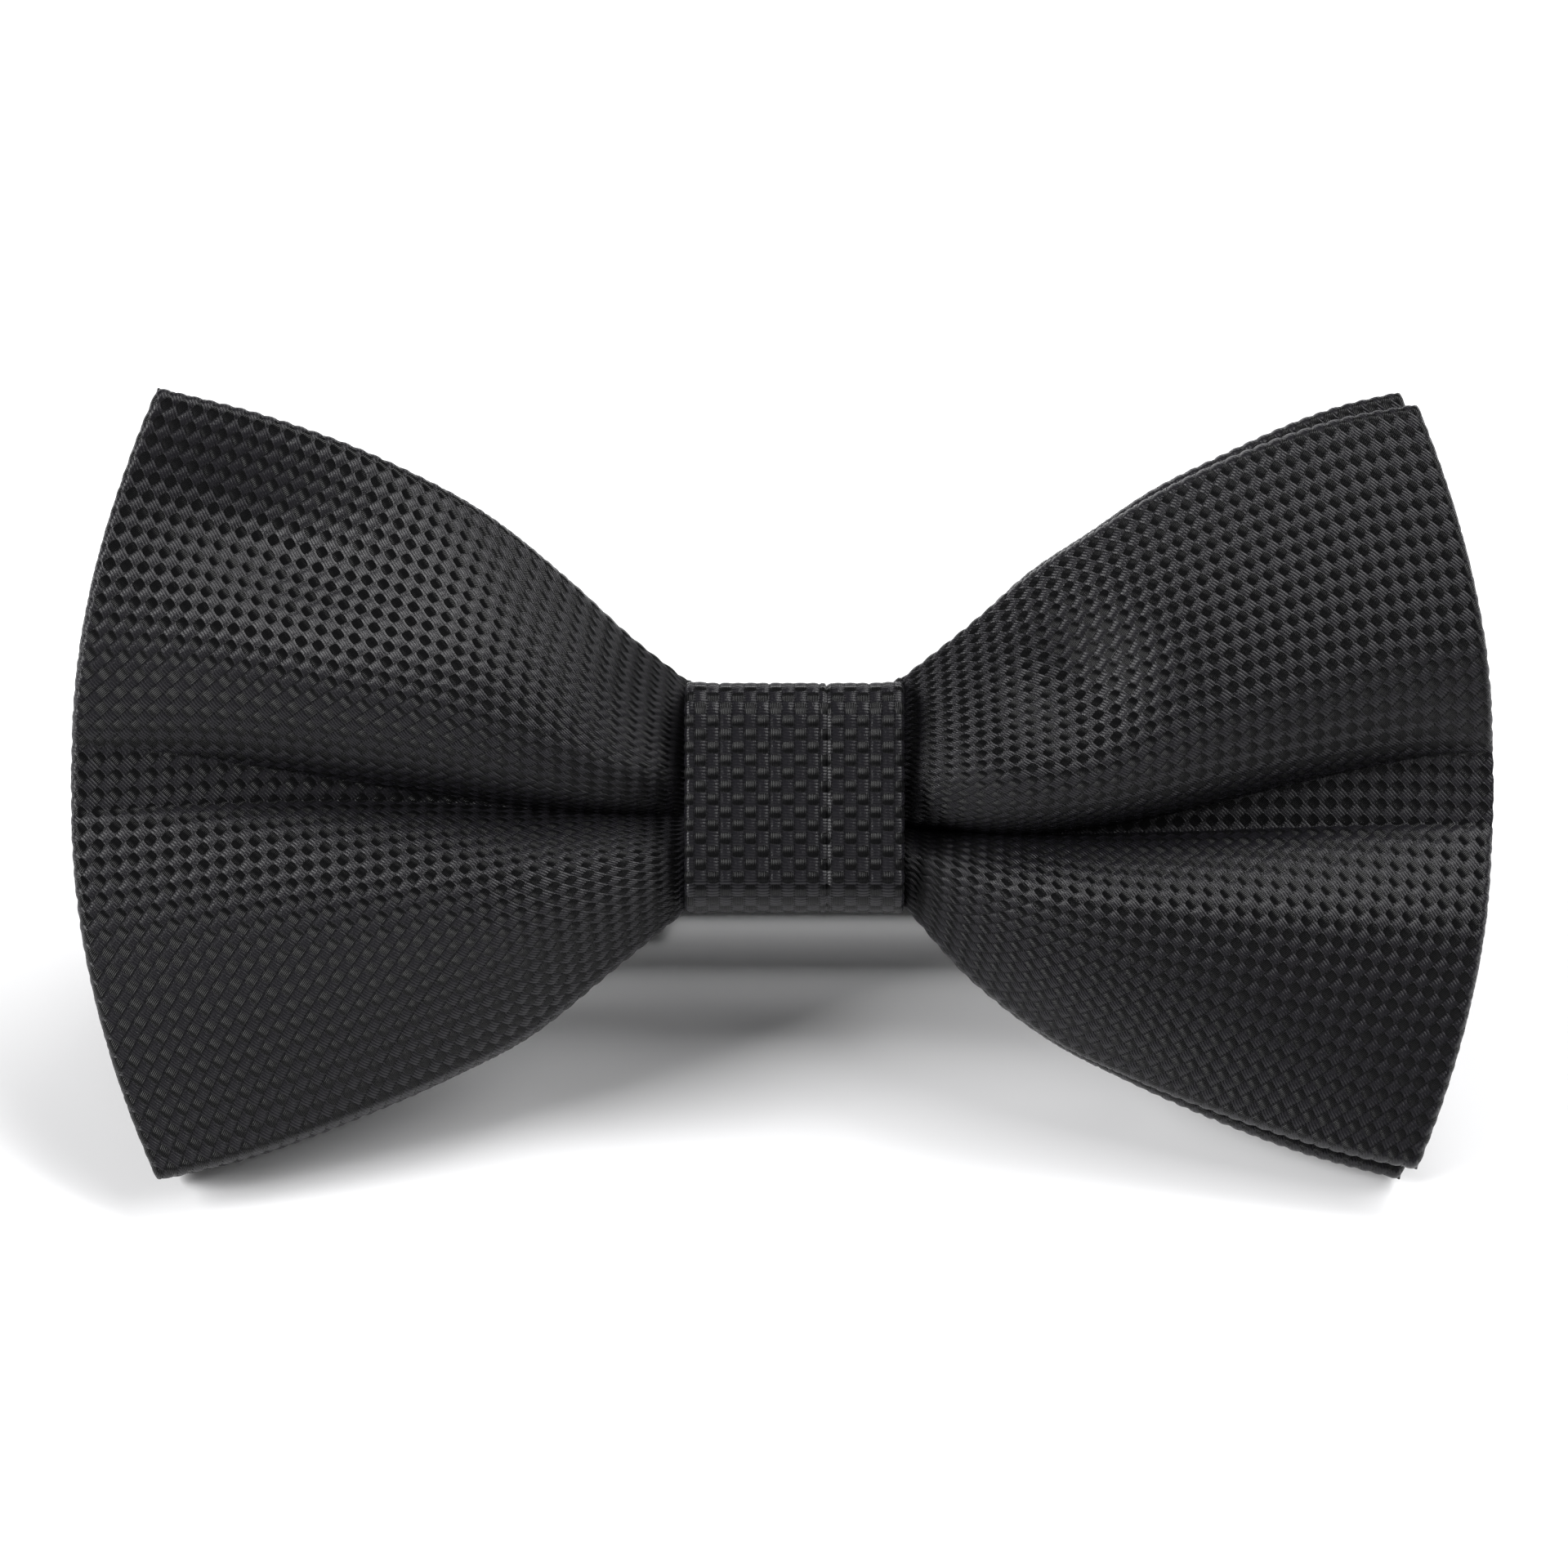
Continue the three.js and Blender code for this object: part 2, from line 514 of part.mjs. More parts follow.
const profile = object.children.flatMap(sideView);
const lowest = Math.min(...profile.map((p) => p.y));
const corner = profile.filter((p) => p.y < lowest + 1e-3).reduce((a, b) => (b.x > a.x ? b : a));
const behind = profile.filter((p) => p.x > corner.x + 1);
const lean = Math.min(...behind.map((p) => Math.atan2(p.y - corner.y, p.x - corner.x)));
const drop = Math.max(...profile.map((p) => p.x * Math.sin(lean) - p.y * Math.cos(lean)));

object.rotation.x = -lean;
object.position.z = drop;
object.updateMatrixWorld(true);

// The origin lies under the middle of the whole object.
const footprint = new THREE.Box3().setFromObject(object, true);
const middle = footprint.getCenter(new THREE.Vector3());
object.position.x -= middle.x;
object.position.y -= middle.y;
const bowTie = new THREE.Group();
bowTie.name = "bow_tie";
bowTie.add(object);

export default bowTie;
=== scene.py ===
import json
import math

import bmesh
import bpy
import numpy as np
from mathutils import Matrix, Vector


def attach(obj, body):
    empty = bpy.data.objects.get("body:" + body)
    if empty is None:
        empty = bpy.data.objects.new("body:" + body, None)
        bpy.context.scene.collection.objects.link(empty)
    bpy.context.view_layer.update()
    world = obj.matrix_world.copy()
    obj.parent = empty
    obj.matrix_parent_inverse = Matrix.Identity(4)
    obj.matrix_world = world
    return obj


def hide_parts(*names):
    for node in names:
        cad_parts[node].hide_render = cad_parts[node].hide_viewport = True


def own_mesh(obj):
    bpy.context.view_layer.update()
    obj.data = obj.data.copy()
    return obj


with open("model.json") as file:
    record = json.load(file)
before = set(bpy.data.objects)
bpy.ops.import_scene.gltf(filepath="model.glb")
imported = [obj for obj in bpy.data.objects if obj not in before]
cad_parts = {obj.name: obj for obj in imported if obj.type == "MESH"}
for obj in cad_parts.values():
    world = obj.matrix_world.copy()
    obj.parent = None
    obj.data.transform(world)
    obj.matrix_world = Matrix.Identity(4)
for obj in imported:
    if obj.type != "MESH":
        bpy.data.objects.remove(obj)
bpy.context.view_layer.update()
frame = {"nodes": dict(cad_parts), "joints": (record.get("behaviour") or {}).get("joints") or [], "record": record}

# ---- The table, the light and the camera ----
# The bow tie leans back on a white studio table, lit by large softboxes from the left, from above and
# behind, and from the right, and by the white room. The camera looks square at the bow's face through a
# long lens. The bow's own frame has x along the bow, y from the face to the back and z up the face.
MM = 0.001
FACE_WIDTH_SEEN = 132.8  # mm across the picture at the bow
PICTURE_CENTRE = (-0.87, 0.0, 1.14)  # mm in the bow's frame
CAMERA_DISTANCE = 700.0  # mm
SENSOR = 36.0  # mm
ROOM_LIGHT = 0.13
TABLE_SIDE = 6  # m
KNOT_FRONT_Y = -6.45  # mm, where the record's mount on the knot's front lies in the bow's frame

mounts = {m["name"]: m for m in frame["record"]["mounts"]}
hook_joint = next(j for j in frame["joints"] if j["name"] == "hook_swing")
back_axis = -Vector(mounts["knot_front"]["axis"])
up_axis = Vector(hook_joint["axis"])
knot_front = Vector(mounts["knot_front"]["pos_m"])
bow_origin = knot_front - back_axis * KNOT_FRONT_Y * MM
BOW = Matrix((Vector((1, 0, 0)), back_axis, up_axis)).transposed().to_4x4()
BOW.translation = bow_origin


def linear(code):
    """An sRGB hex code as linear RGBA."""
    parts = [int(code[n : n + 2], 16) / 255 for n in (1, 3, 5)]
    return [c / 12.92 if c <= 0.04045 else ((c + 0.055) / 1.055) ** 2.4 for c in parts] + [1.0]


def add(tree, kind, inputs=None, **settings):
    """Adds a node. An input is named or numbered, and is a value or another node's output."""
    node = tree.nodes.new(kind)
    for key, value in settings.items():
        setattr(node, key, value)
    for key, value in (inputs or {}).items():
        if isinstance(value, bpy.types.NodeSocket):
            tree.links.new(value, node.inputs[key])
        else:
            node.inputs[key].default_value = value
    return node


def new_material(name):
    material = bpy.data.materials.new(name)
    material.use_nodes = True
    material.node_tree.nodes.clear()
    return material, material.node_tree


def shade(tree, shader):
    add(tree, "ShaderNodeOutputMaterial", {"Surface": shader})


def softbox(name, place, target, size, watts):
    light = bpy.data.lights.new(name, "AREA")
    light.shape = "RECTANGLE"
    light.size, light.size_y = size
    light.energy = watts
    lamp = bpy.data.objects.new(name, light)
    bpy.context.collection.objects.link(lamp)
    lamp.location = place
    lamp.rotation_mode = "QUATERNION"
    lamp.rotation_quaternion = (Vector(target) - Vector(place)).to_track_quat("-Z", "Y")


bow_middle = (0.0, 0.0, 0.03)
softbox("key_softbox", (-0.95, -0.3, 0.68), bow_middle, (0.6, 0.6), 17)
softbox("top_softbox", (0.42, 0.42, 1.0), bow_middle, (0.7, 0.5), 10)
softbox("fill_softbox", (0.75, -0.1, 0.9), bow_middle, (0.7, 0.7), 7)

world = bpy.data.worlds.new("white_room")
bpy.context.scene.world = world
world.use_nodes = True
world.node_tree.nodes["Background"].inputs["Color"].default_value = (1.0, 1.0, 1.0, 1.0)
world.node_tree.nodes["Background"].inputs["Strength"].default_value = ROOM_LIGHT
bpy.context.scene.view_settings.view_transform = "Standard"

# Matt white paper on the table: it shows soft shadows and no reflection.
paper, tree = new_material("matt_white_paper")
grain = add(tree, "ShaderNodeTexNoise", {"Scale": 900.0, "Detail": 3.0})
bump = add(tree, "ShaderNodeBump", {"Height": grain.outputs[0], "Strength": 0.05, "Distance": 0.0002})
shade(tree, add(tree, "ShaderNodeBsdfPrincipled", {
    "Base Color": linear("#f6f6f7"), "Roughness": 0.9, "Specular IOR Level": 0.1, "Normal": bump.outputs[0],
}).outputs[0])
bpy.ops.mesh.primitive_plane_add(size=TABLE_SIDE, location=(0, 0, 0))
table = bpy.context.object
table.name = "table_top"
table.data.materials.append(paper)

lens = bpy.data.cameras.new("camera")
lens.sensor_width = SENSOR
lens.lens = SENSOR * CAMERA_DISTANCE / FACE_WIDTH_SEEN
lens.clip_end = 20
camera = bpy.data.objects.new("camera", lens)
bpy.context.collection.objects.link(camera)
camera_place = (Vector(PICTURE_CENTRE) - Vector((0, CAMERA_DISTANCE, 0))) * MM
camera.matrix_world = BOW @ Matrix.Translation(camera_place) @ Matrix.Rotation(math.radians(90), 4, "X")
bpy.context.scene.camera = camera

# ---- The bows: cloth ----
# Black polyester in a hopsack weave: groups of fine warp filaments and of thicker weft yarns pass
# over each other like a basket, and each group's float catches the light in its own direction.
CELL_WARP, CELL_WEFT = 1.09, 1.05  # mm, the length of one float along the warp and along the weft
FLOAT_HEIGHT = 0.15  # mm
WARP_FILAMENTS, WEFT_YARNS = 7.0, 4.0  # per float, drawn a little coarser than the real yarn


def relief_tree():
    """Geometry Nodes: lifts each float of the weave along the cloth's normal."""
    group = bpy.data.node_groups.new("weave_relief", "GeometryNodeTree")
    face = group.interface
    face.new_socket("Geometry", in_out="INPUT", socket_type="NodeSocketGeometry")
    sizes = {"Cell along warp": CELL_WARP, "Cell along weft": CELL_WEFT, "Float height": FLOAT_HEIGHT * MM}
    for name, value in sizes.items():
        face.new_socket(name, in_out="INPUT", socket_type="NodeSocketFloat").default_value = value
    face.new_socket("Cloth", in_out="INPUT", socket_type="NodeSocketMaterial")
    face.new_socket("Geometry", in_out="OUTPUT", socket_type="NodeSocketGeometry")
    start = add(group, "NodeGroupInput")
    threads = add(group, "GeometryNodeInputNamedAttribute", {0: "threads"}, data_type="FLOAT_VECTOR")
    split = add(group, "ShaderNodeSeparateXYZ", {0: threads.outputs[0]})

    def maths(operation, *values):
        return add(group, "ShaderNodeMath", dict(enumerate(values)), operation=operation).outputs[0]

    cells = [maths("DIVIDE", split.outputs[n], start.outputs[n + 1]) for n in (0, 1)]
    parts = [maths("MULTIPLY", maths("FRACT", c), math.pi) for c in cells]
    arches = [maths("MAXIMUM", maths("SINE", p), 0.0) for p in parts]
    parity = maths("FLOORED_MODULO", maths("ADD", maths("FLOOR", cells[0]), maths("FLOOR", cells[1])), 2.0)

    def float_shape(along, across):
        return maths("MULTIPLY", maths("POWER", along, 0.6), maths("POWER", across, 0.18))

    warp_float = float_shape(*arches)
    weft_float = float_shape(*arches[::-1])
    height = add(group, "ShaderNodeMix", {0: parity, 2: warp_float, 3: weft_float}).outputs[0]
    lift = maths("MULTIPLY", height, start.outputs["Float height"])
    normal = add(group, "GeometryNodeInputNormal")
    offset = add(group, "ShaderNodeVectorMath", {0: normal.outputs[0], "Scale": lift}, operation="SCALE")
    moved = add(group, "GeometryNodeSetPosition", {
        "Geometry": start.outputs[0], "Offset": offset.outputs[0],
    })
    real = add(group, "GeometryNodeRealizeInstances", {0: moved.outputs[0]})
    dressed = add(group, "GeometryNodeSetMaterial", {
        0: real.outputs[0], "Material": start.outputs["Cloth"],
    })
    add(group, "NodeGroupOutput", {0: dressed.outputs[0]})
    return group


WEAVE_RELIEF = relief_tree()


def through_nodes(piece, group, values):
    """Runs a Geometry Nodes tree on a piece and keeps the result as its plain mesh."""
    modifier = piece.modifiers.new(group.name, "NODES")
    modifier.node_group = group
    sockets = {i.name: i.identifier for i in group.interface.items_tree if i.in_out == "INPUT"}
    for name, value in values.items():
        modifier[sockets[name]] = value
    evaluated = piece.evaluated_get(bpy.context.evaluated_depsgraph_get())
    made = bpy.data.meshes.new_from_object(evaluated)
    piece.modifiers.remove(modifier)
    old = piece.data
    piece.data = made
    bpy.data.meshes.remove(old)
    made.name = piece.name
    return piece


def hopsack(name, warp_hex, weft_hex):
    """Hopsack cloth: one lustre for each set of threads, shared out by the same checks as the relief."""
    material, tree = new_material(name)
    uv = add(tree, "ShaderNodeUVMap", uv_map="threads")
    split = add(tree, "ShaderNodeSeparateXYZ", {0: uv.outputs[0]})

    def maths(operation, *values):
        return add(tree, "ShaderNodeMath", dict(enumerate(values)), operation=operation).outputs[0]

    cells = [maths("DIVIDE", split.outputs[n], size) for n, size in ((0, CELL_WARP), (1, CELL_WEFT))]
    parts = [maths("FRACT", c) for c in cells]
    arches = [maths("SINE", maths("MULTIPLY", p, math.pi)) for p in parts]
    waves = [maths("SINE", maths("MULTIPLY", c, math.pi)) for c in cells]
    # The fuller weft yarns spread a little over the corners of the warp floats, so these look
    # rounded.
    check = maths("MULTIPLY", *waves)
    on_weft = add(tree, "ShaderNodeMapRange", {0: check, 1: 0.18, 2: 0.08}).outputs[0]

    # Each thread of a group is a small ridge across the float.
    def ridges(part, count):
        return maths("ABSOLUTE", maths("SINE", maths("MULTIPLY", part, count * math.pi)))

    fuzz = add(tree, "ShaderNodeTexNoise", {"Vector": uv.outputs[0], "Scale": 7.0, "Detail": 4.0})
    warp_ridge = ridges(parts[1], WARP_FILAMENTS)
    weft_ridge = maths("ADD", ridges(parts[0], WEFT_YARNS), maths("MULTIPLY", fuzz.outputs[0], 0.9))
    ends = [maths("POWER", arch, 0.5) for arch in arches]
    # The gaps where a float dives get painted shade: a near-black, dull shader stands in for their shadow and
    # holds no lustre.
    gap = add(tree, "ShaderNodeBsdfPrincipled", {
        "Base Color": linear("#060607"), "Roughness": 0.9, "Specular IOR Level": 0.05,
    }).outputs[0]

    def float_of(colour, ridge, end, stretch, turn, sheen, lustre, tint):
        """The shader of one set of floats, with painted shade in its grooves. turn lays its lustre across the
        threads.
        """
        # Painted shade: the base colour falls to a quarter toward the float ends and in the grooves between the
        # threads.
        full = maths("ADD", maths("MULTIPLY", ridge, 0.35), maths("MULTIPLY", end, 0.65))
        groove_shade = [c * 0.25 for c in linear(colour)[:3]] + [1.0]
        shown = add(tree, "ShaderNodeMix", {0: full, 6: groove_shade, 7: linear(colour)}, data_type="RGBA")
        bump = add(tree, "ShaderNodeBump", {"Height": ridge, "Strength": 0.8, "Distance": 0.00004})
        tangent = add(tree, "ShaderNodeTangent", direction_type="UV_MAP", uv_map="threads")
        thread = add(tree, "ShaderNodeBsdfPrincipled", {
            "Base Color": shown.outputs[2], "Roughness": 0.34, "Anisotropic": stretch,
            "Anisotropic Rotation": turn, "Sheen Weight": sheen, "Sheen Roughness": 0.35,
            "Sheen Tint": tint, "Specular IOR Level": lustre, "Normal": bump.outputs[0],
            "Tangent": tangent.outputs[0],
        }).outputs[0]
        # Painted shade mask: at the ragged float ends and low between the threads, the near-black gap shader takes
        # over.
        ragged_end = maths("ADD", end, maths("MULTIPLY", fuzz.outputs[0], 0.3))
        raised = maths("MULTIPLY", ragged_end, maths("ADD", ridge, 0.2))
        gap_shade_mix = add(tree, "ShaderNodeMapRange", {0: raised, 1: 0.15, 2: 0.75}).outputs[0]
        return add(tree, "ShaderNodeMixShader", {0: gap_shade_mix, 1: gap, 2: thread}).outputs[0]

    # Smooth filament: a narrow lustre, neutral grey. Fuller yarn: a broader, cooler lustre.
    warp = float_of(warp_hex, warp_ridge, ends[0], 0.85, 0.25, 0.01, 0.22, (0.8, 0.8, 0.82, 1.0))
    weft = float_of(weft_hex, weft_ridge, ends[1], 0.7, 0.0, 0.03, 0.3, (0.82, 0.8, 0.92, 1.0))
    shade(tree, add(tree, "ShaderNodeMixShader", {0: on_weft, 1: warp, 2: weft}).outputs[0])
    return material


# Dyed polyester filament: nearly black, with a lustre that comes and goes as the floats turn to the light.
bow_cloth = hopsack("black_hopsack_polyester", "#0a0a0b", "#141317")


# ---- The bows: shape ----
# Each bow is a tube of the cloth, turned, pressed and pinched at the waist, so that each wing is a
# flat double panel at its tip and two rounded lobes with a deep pleat between them at the knot.
# Its warp runs at 45 degrees, up to the right, because the cloth is cut on the bias.
FLAT_HALF_HEIGHT = 33.3  # mm, half the width of the flattened tube
FLAT_WING = 53.0  # mm from the knot to the fold at the tip
KNOT_HALF_WIDTH = 9.1
KNOT_SQUEEZE = 0.23  # share of their height that the lobes lose inside the knot
FOLD_ROUND = 0.6  # mm, the radius of a pressed fold
FOLD_BEHIND_FACE = 1.0  # mm from the front face to the middle of the fold, at the tip
TIP_REACH = 16.0  # mm of the wing's end over which its waves reach the tip's fold
THINNEST = 0.05  # share of the thickness left at a fold's very edge
FINE, MEDIUM, COARSE = 0.22, 0.3, 0.9  # mm between the points of a panel, by how much of it shows
KNOT_STEP = 0.8  # mm between the points inside the knot
EDGE_SAMPLES, ROW_SAMPLES = 900, 801  # for spacing the rows evenly


def smooth_step(low, high, x):
    t = np.clip((x - low) / (high - low), 0, 1)
    return t * t * (3 - 2 * t)


def through(points):
    """A smooth curve through a few chosen points."""
    xs, ys = (np.array(v, float) for v in zip(*points))
    slopes = np.gradient(ys, xs)

    def at(x):
        x = np.clip(x, xs[0], xs[-1])
        n = np.clip(np.searchsorted(xs, x) - 1, 0, len(xs) - 2)
        h = xs[n + 1] - xs[n]
        t = (x - xs[n]) / h
        a, b = ys[n] * (1 + 2 * t) * (1 - t) ** 2, ys[n + 1] * t * t * (3 - 2 * t)
        return a + b + slopes[n] * h * t * (1 - t) ** 2 - slopes[n + 1] * h * t * t * (1 - t)

    return at


def make_mesh(name, points, faces, threads, materials=()):
    """A piece from points in the bow's frame, in mm. threads gives each point's place in the weave."""
    matrix = np.array(BOW)
    placed = (np.asarray(points) * MM) @ matrix[:3, :3].T + matrix[:3, 3]
    mesh = bpy.data.meshes.new(name)
    kinds = [np.asarray(f, np.int32) for f in (faces if isinstance(faces, list) else [faces]) if len(f)]
    corners = np.concatenate([f.ravel() for f in kinds])
    sides = np.concatenate([np.full(len(f), f.shape[1]) for f in kinds])
    mesh.vertices.add(len(placed))
    mesh.vertices.foreach_set("co", placed.astype(np.float32).ravel())
    mesh.loops.add(len(corners))
    mesh.loops.foreach_set("vertex_index", corners)
    mesh.polygons.add(len(sides))
    mesh.polygons.foreach_set("loop_start", (np.cumsum(sides) - sides).astype(np.int32))
    mesh.polygons.foreach_set("use_smooth", np.ones(len(sides), bool))
    mesh.update(calc_edges=True)
    layer = mesh.uv_layers.new(name="threads")
    layer.data.foreach_set("uv", np.asarray(threads, np.float32)[corners].ravel())
    outward = bmesh.new()
    outward.from_mesh(mesh)
    bmesh.ops.recalc_face_normals(outward, faces=outward.faces)
    outward.to_mesh(mesh)
    outward.free()
    piece = bpy.data.objects.new(name, mesh)
    bpy.context.collection.objects.link(piece)
    for material in materials:
        mesh.materials.append(material)
    return piece


def grid_faces(rows, columns, closed=False):
    """Quads of a grid of points numbered row by row; a closed grid's last row meets its first."""
    i, j = np.meshgrid(np.arange(rows if closed else rows - 1), np.arange(columns - 1), indexing="ij")
    k = (i + 1) % rows
    quads = [i * columns + j, i * columns + j + 1, k * columns + j + 1, k * columns + j]
    return np.stack(quads, -1).reshape(-1, 4)


def end_faces(points, front_count, column):
    """Triangles that close one end of a tube, between its front chain of points and its back chain."""
    rows, columns = points.shape[:2]
    front = np.arange(front_count)
    back = np.concatenate([[0], np.arange(rows - 1, front_count - 1, -1), [front_count - 1]])
    shares = []
    for chain in (front, back):
        steps = np.linalg.norm(np.diff(points[chain, column], axis=0), axis=1)
        shares.append(np.concatenate([[0], np.cumsum(steps)]) / steps.sum())
    faces, i, j = [], 0, 0
    while i < len(front) - 1 or j < len(back) - 1:
        ahead = j == len(back) - 1 or (i < len(front) - 1 and shares[0][i + 1] <= shares[1][j + 1])
        face = (front[i], front[i + 1], back[j]) if ahead else (front[i], back[j + 1], back[j])
        i, j = (i + 1, j) if ahead else (i, j + 1)
        if len(set(face)) == 3:
            faces.append(face)
    return np.array(faces) * columns + column


def tube(name, points, threads, front_count, ends, materials=()):
    """A flat closed tube: its rows go over the front, from -1 to 1, and return over the back."""
    rows, columns = points.shape[:2]
    faces = [grid_faces(rows, columns, closed=True)]
    faces += [end_faces(points, front_count, column) for column in ends]
    return make_mesh(name, points.reshape(-1, 3), faces, threads.reshape(-1, 2), materials)


def lobe(q, crisp, rise, fall):
    """A lobe's outline from the pleat, q = 0, to the folded edge, q = 1. crisp is the share of its height
    that it gains at once, in the fold beside the pleat."""
    swell = crisp * (1 - np.exp(-q / 0.04)) + (1 - crisp) * (1 - np.exp(-q / rise))
    return swell * (1 - q**fall)


def mound(x, z, middle, radii, turn, height):
    """A soft rise or dent in the face."""
    c, s = math.cos(math.radians(turn)), math.sin(math.radians(turn))
    dx, dz = x - middle[0], z - middle[1]
    along, across = (dx * c + dz * s) / radii[0], (dz * c - dx * s) / radii[1]
    return height * np.exp(-(along**2) - across**2)


def front_face(wing, s, q):
    """Points (x, y, z) of a wing's front face. s is the distance in mm along the cloth from the knot's edge
    to the fold at the tip, and below 0 inside the knot; q runs from edge to edge."""
    u = np.clip(s / FLAT_WING, 0, 1)
    up = q > 0
    share = np.abs(q)
    pleat = wing["pleat"](u)
    top, low = wing["top"](u), wing["low"](u)
    z = np.where(up, pleat + (top - pleat) * share, pleat + (low - pleat) * share)
    shelf = np.where(up, wing["shelf"](u), 0)
    climb = np.clip(share - shelf, 0, 1) / (1 - shelf)
    overlap = wing["overlap"](u) * np.sin(np.pi * np.clip(climb / 0.45, 0, 1))
    z = z - np.where(up, overlap, 0)
    spread = 2 * (z - low) / (top - low) - 1
    tip = wing["reach"] - wing["sag"] * np.clip(np.abs(spread), 0, 1) ** 2
    x = KNOT_HALF_WIDTH + (tip - KNOT_HALF_WIDTH) * u + np.minimum(s, 0)
    crisp, rise, fall = (np.where(up, *wing[key]) for key in ("crisp", "rise", "fall"))
    swell = np.where(up, wing["upper"](u), wing["lower"](u))
    floor = wing["valley"](u)
    base = floor + (wing["edge_depth"](u) - floor) * smooth_step(0, 0.35, climb)
    depth = base + swell * lobe(climb, crisp, rise, fall)
    for rise_or_dent in wing["mounds"]:
        depth = depth + mound(wing["sign"] * x, z, *rise_or_dent) * smooth_step(0, 0.12, climb)
    pinch = smooth_step(KNOT_HALF_WIDTH - 0.6, KNOT_HALF_WIDTH - 2.0, x)
    z = z * (1 - KNOT_SQUEEZE * pinch)
    return np.stack([wing["sign"] * x, -depth, z], -1)


def even_rows(wing, columns, count):
    """For each column, the values of q that are evenly spaced along the cloth."""
    raw = np.linspace(-1, 1, EDGE_SAMPLES)
    points = front_face(wing, *np.meshgrid(columns, raw, indexing="ij"))
    steps = np.linalg.norm(np.diff(points[..., 1:], axis=1), axis=-1)
    along = np.concatenate([np.zeros((len(columns), 1)), np.cumsum(steps, 1)], 1)
    wanted = np.linspace(0, 1, count)
    return np.array([np.interp(wanted * a[-1], a, raw) for a in along])


def rounded(distance, radius):
    """How far a pressed fold has reached its full thickness, from 0 at the fold to 1."""
    return np.sqrt(1 - (1 - np.clip(distance / radius, 0, 1)) ** 2)


def fold_spacing(length, step, radius):
    """Places from 0 to 1 along a length, closer together in the rounded fold at the end."""
    steps = np.arange(0, length - radius, step)
    turn = length - radius + radius * np.sin(np.linspace(0, np.pi / 2, 6))
    return np.concatenate([steps, turn]) / length


def wing_tube(name, wing, front_step, back_step, back_face):
    """The closed double panel of one wing: its front face, folded edges and back face."""
    columns = fold_spacing(FLAT_WING, min(front_step, back_step), FOLD_ROUND) * FLAT_WING
    columns = np.concatenate([np.arange(-KNOT_HALF_WIDTH, 0, KNOT_STEP), columns])
    half = fold_spacing(FLAT_HALF_HEIGHT, front_step, FOLD_ROUND)
    front_v = np.concatenate([-half[:0:-1], half])
    half = fold_spacing(FLAT_HALF_HEIGHT, back_step, FOLD_ROUND)
    back_v = np.concatenate([half[-2::-1], -half[1:-1]])
    dense = even_rows(wing, columns, ROW_SAMPLES)
    spaced = np.linspace(-1, 1, ROW_SAMPLES)
    near_tip = np.maximum(rounded(FLAT_WING - columns, FOLD_ROUND), THINNEST)[:, None]

    # The fold at the tip keeps the waves of the face, so the whole panel comes forward there.
    forward = smooth_step(FLAT_WING - TIP_REACH, FLAT_WING, columns)[:, None]

    def panel(v, face):
        q = np.array([np.interp(v, spaced, row) for row in dense])
        s = np.repeat(columns[:, None], len(v), 1)
        points, waves = face(wing, s, q), front_face(wing, s, q)[..., 1]
        fold_y = wing["fold_y"]
        middle = fold_y + (np.minimum(waves + FOLD_BEHIND_FACE, fold_y) - fold_y) * forward
        if face is not front_face:
            points[..., 1] += middle - fold_y
        thick = rounded((1 - np.abs(v)) * FLAT_HALF_HEIGHT, FOLD_ROUND)[None, :] * near_tip
        points[..., 1] = middle + (points[..., 1] - middle) * thick
        return points

    points = np.concatenate([panel(front_v, front_face), panel(back_v, back_face)], 1).transpose(1, 0, 2)
    count = points.shape[1]
    t = np.concatenate([front_v, back_v]) * FLAT_HALF_HEIGHT
    flat_x, flat_z = np.meshgrid(wing["sign"] * columns, t)
    threads = np.stack([(flat_x + flat_z) / math.sqrt(2), (flat_x - flat_z) / math.sqrt(2)], -1)
    piece = tube(name, points, threads, len(front_v), [count - 1])
    through_nodes(piece, WEAVE_RELIEF, {"Float height": FLOAT_HEIGHT * MM, "Cloth": bow_cloth})
    return piece


def flat_back(wing, s, q):
    """A back face that lies flat against the other bow."""
    points = front_face(wing, s, q)
    points[..., 1] = wing["back_y"]
    return points


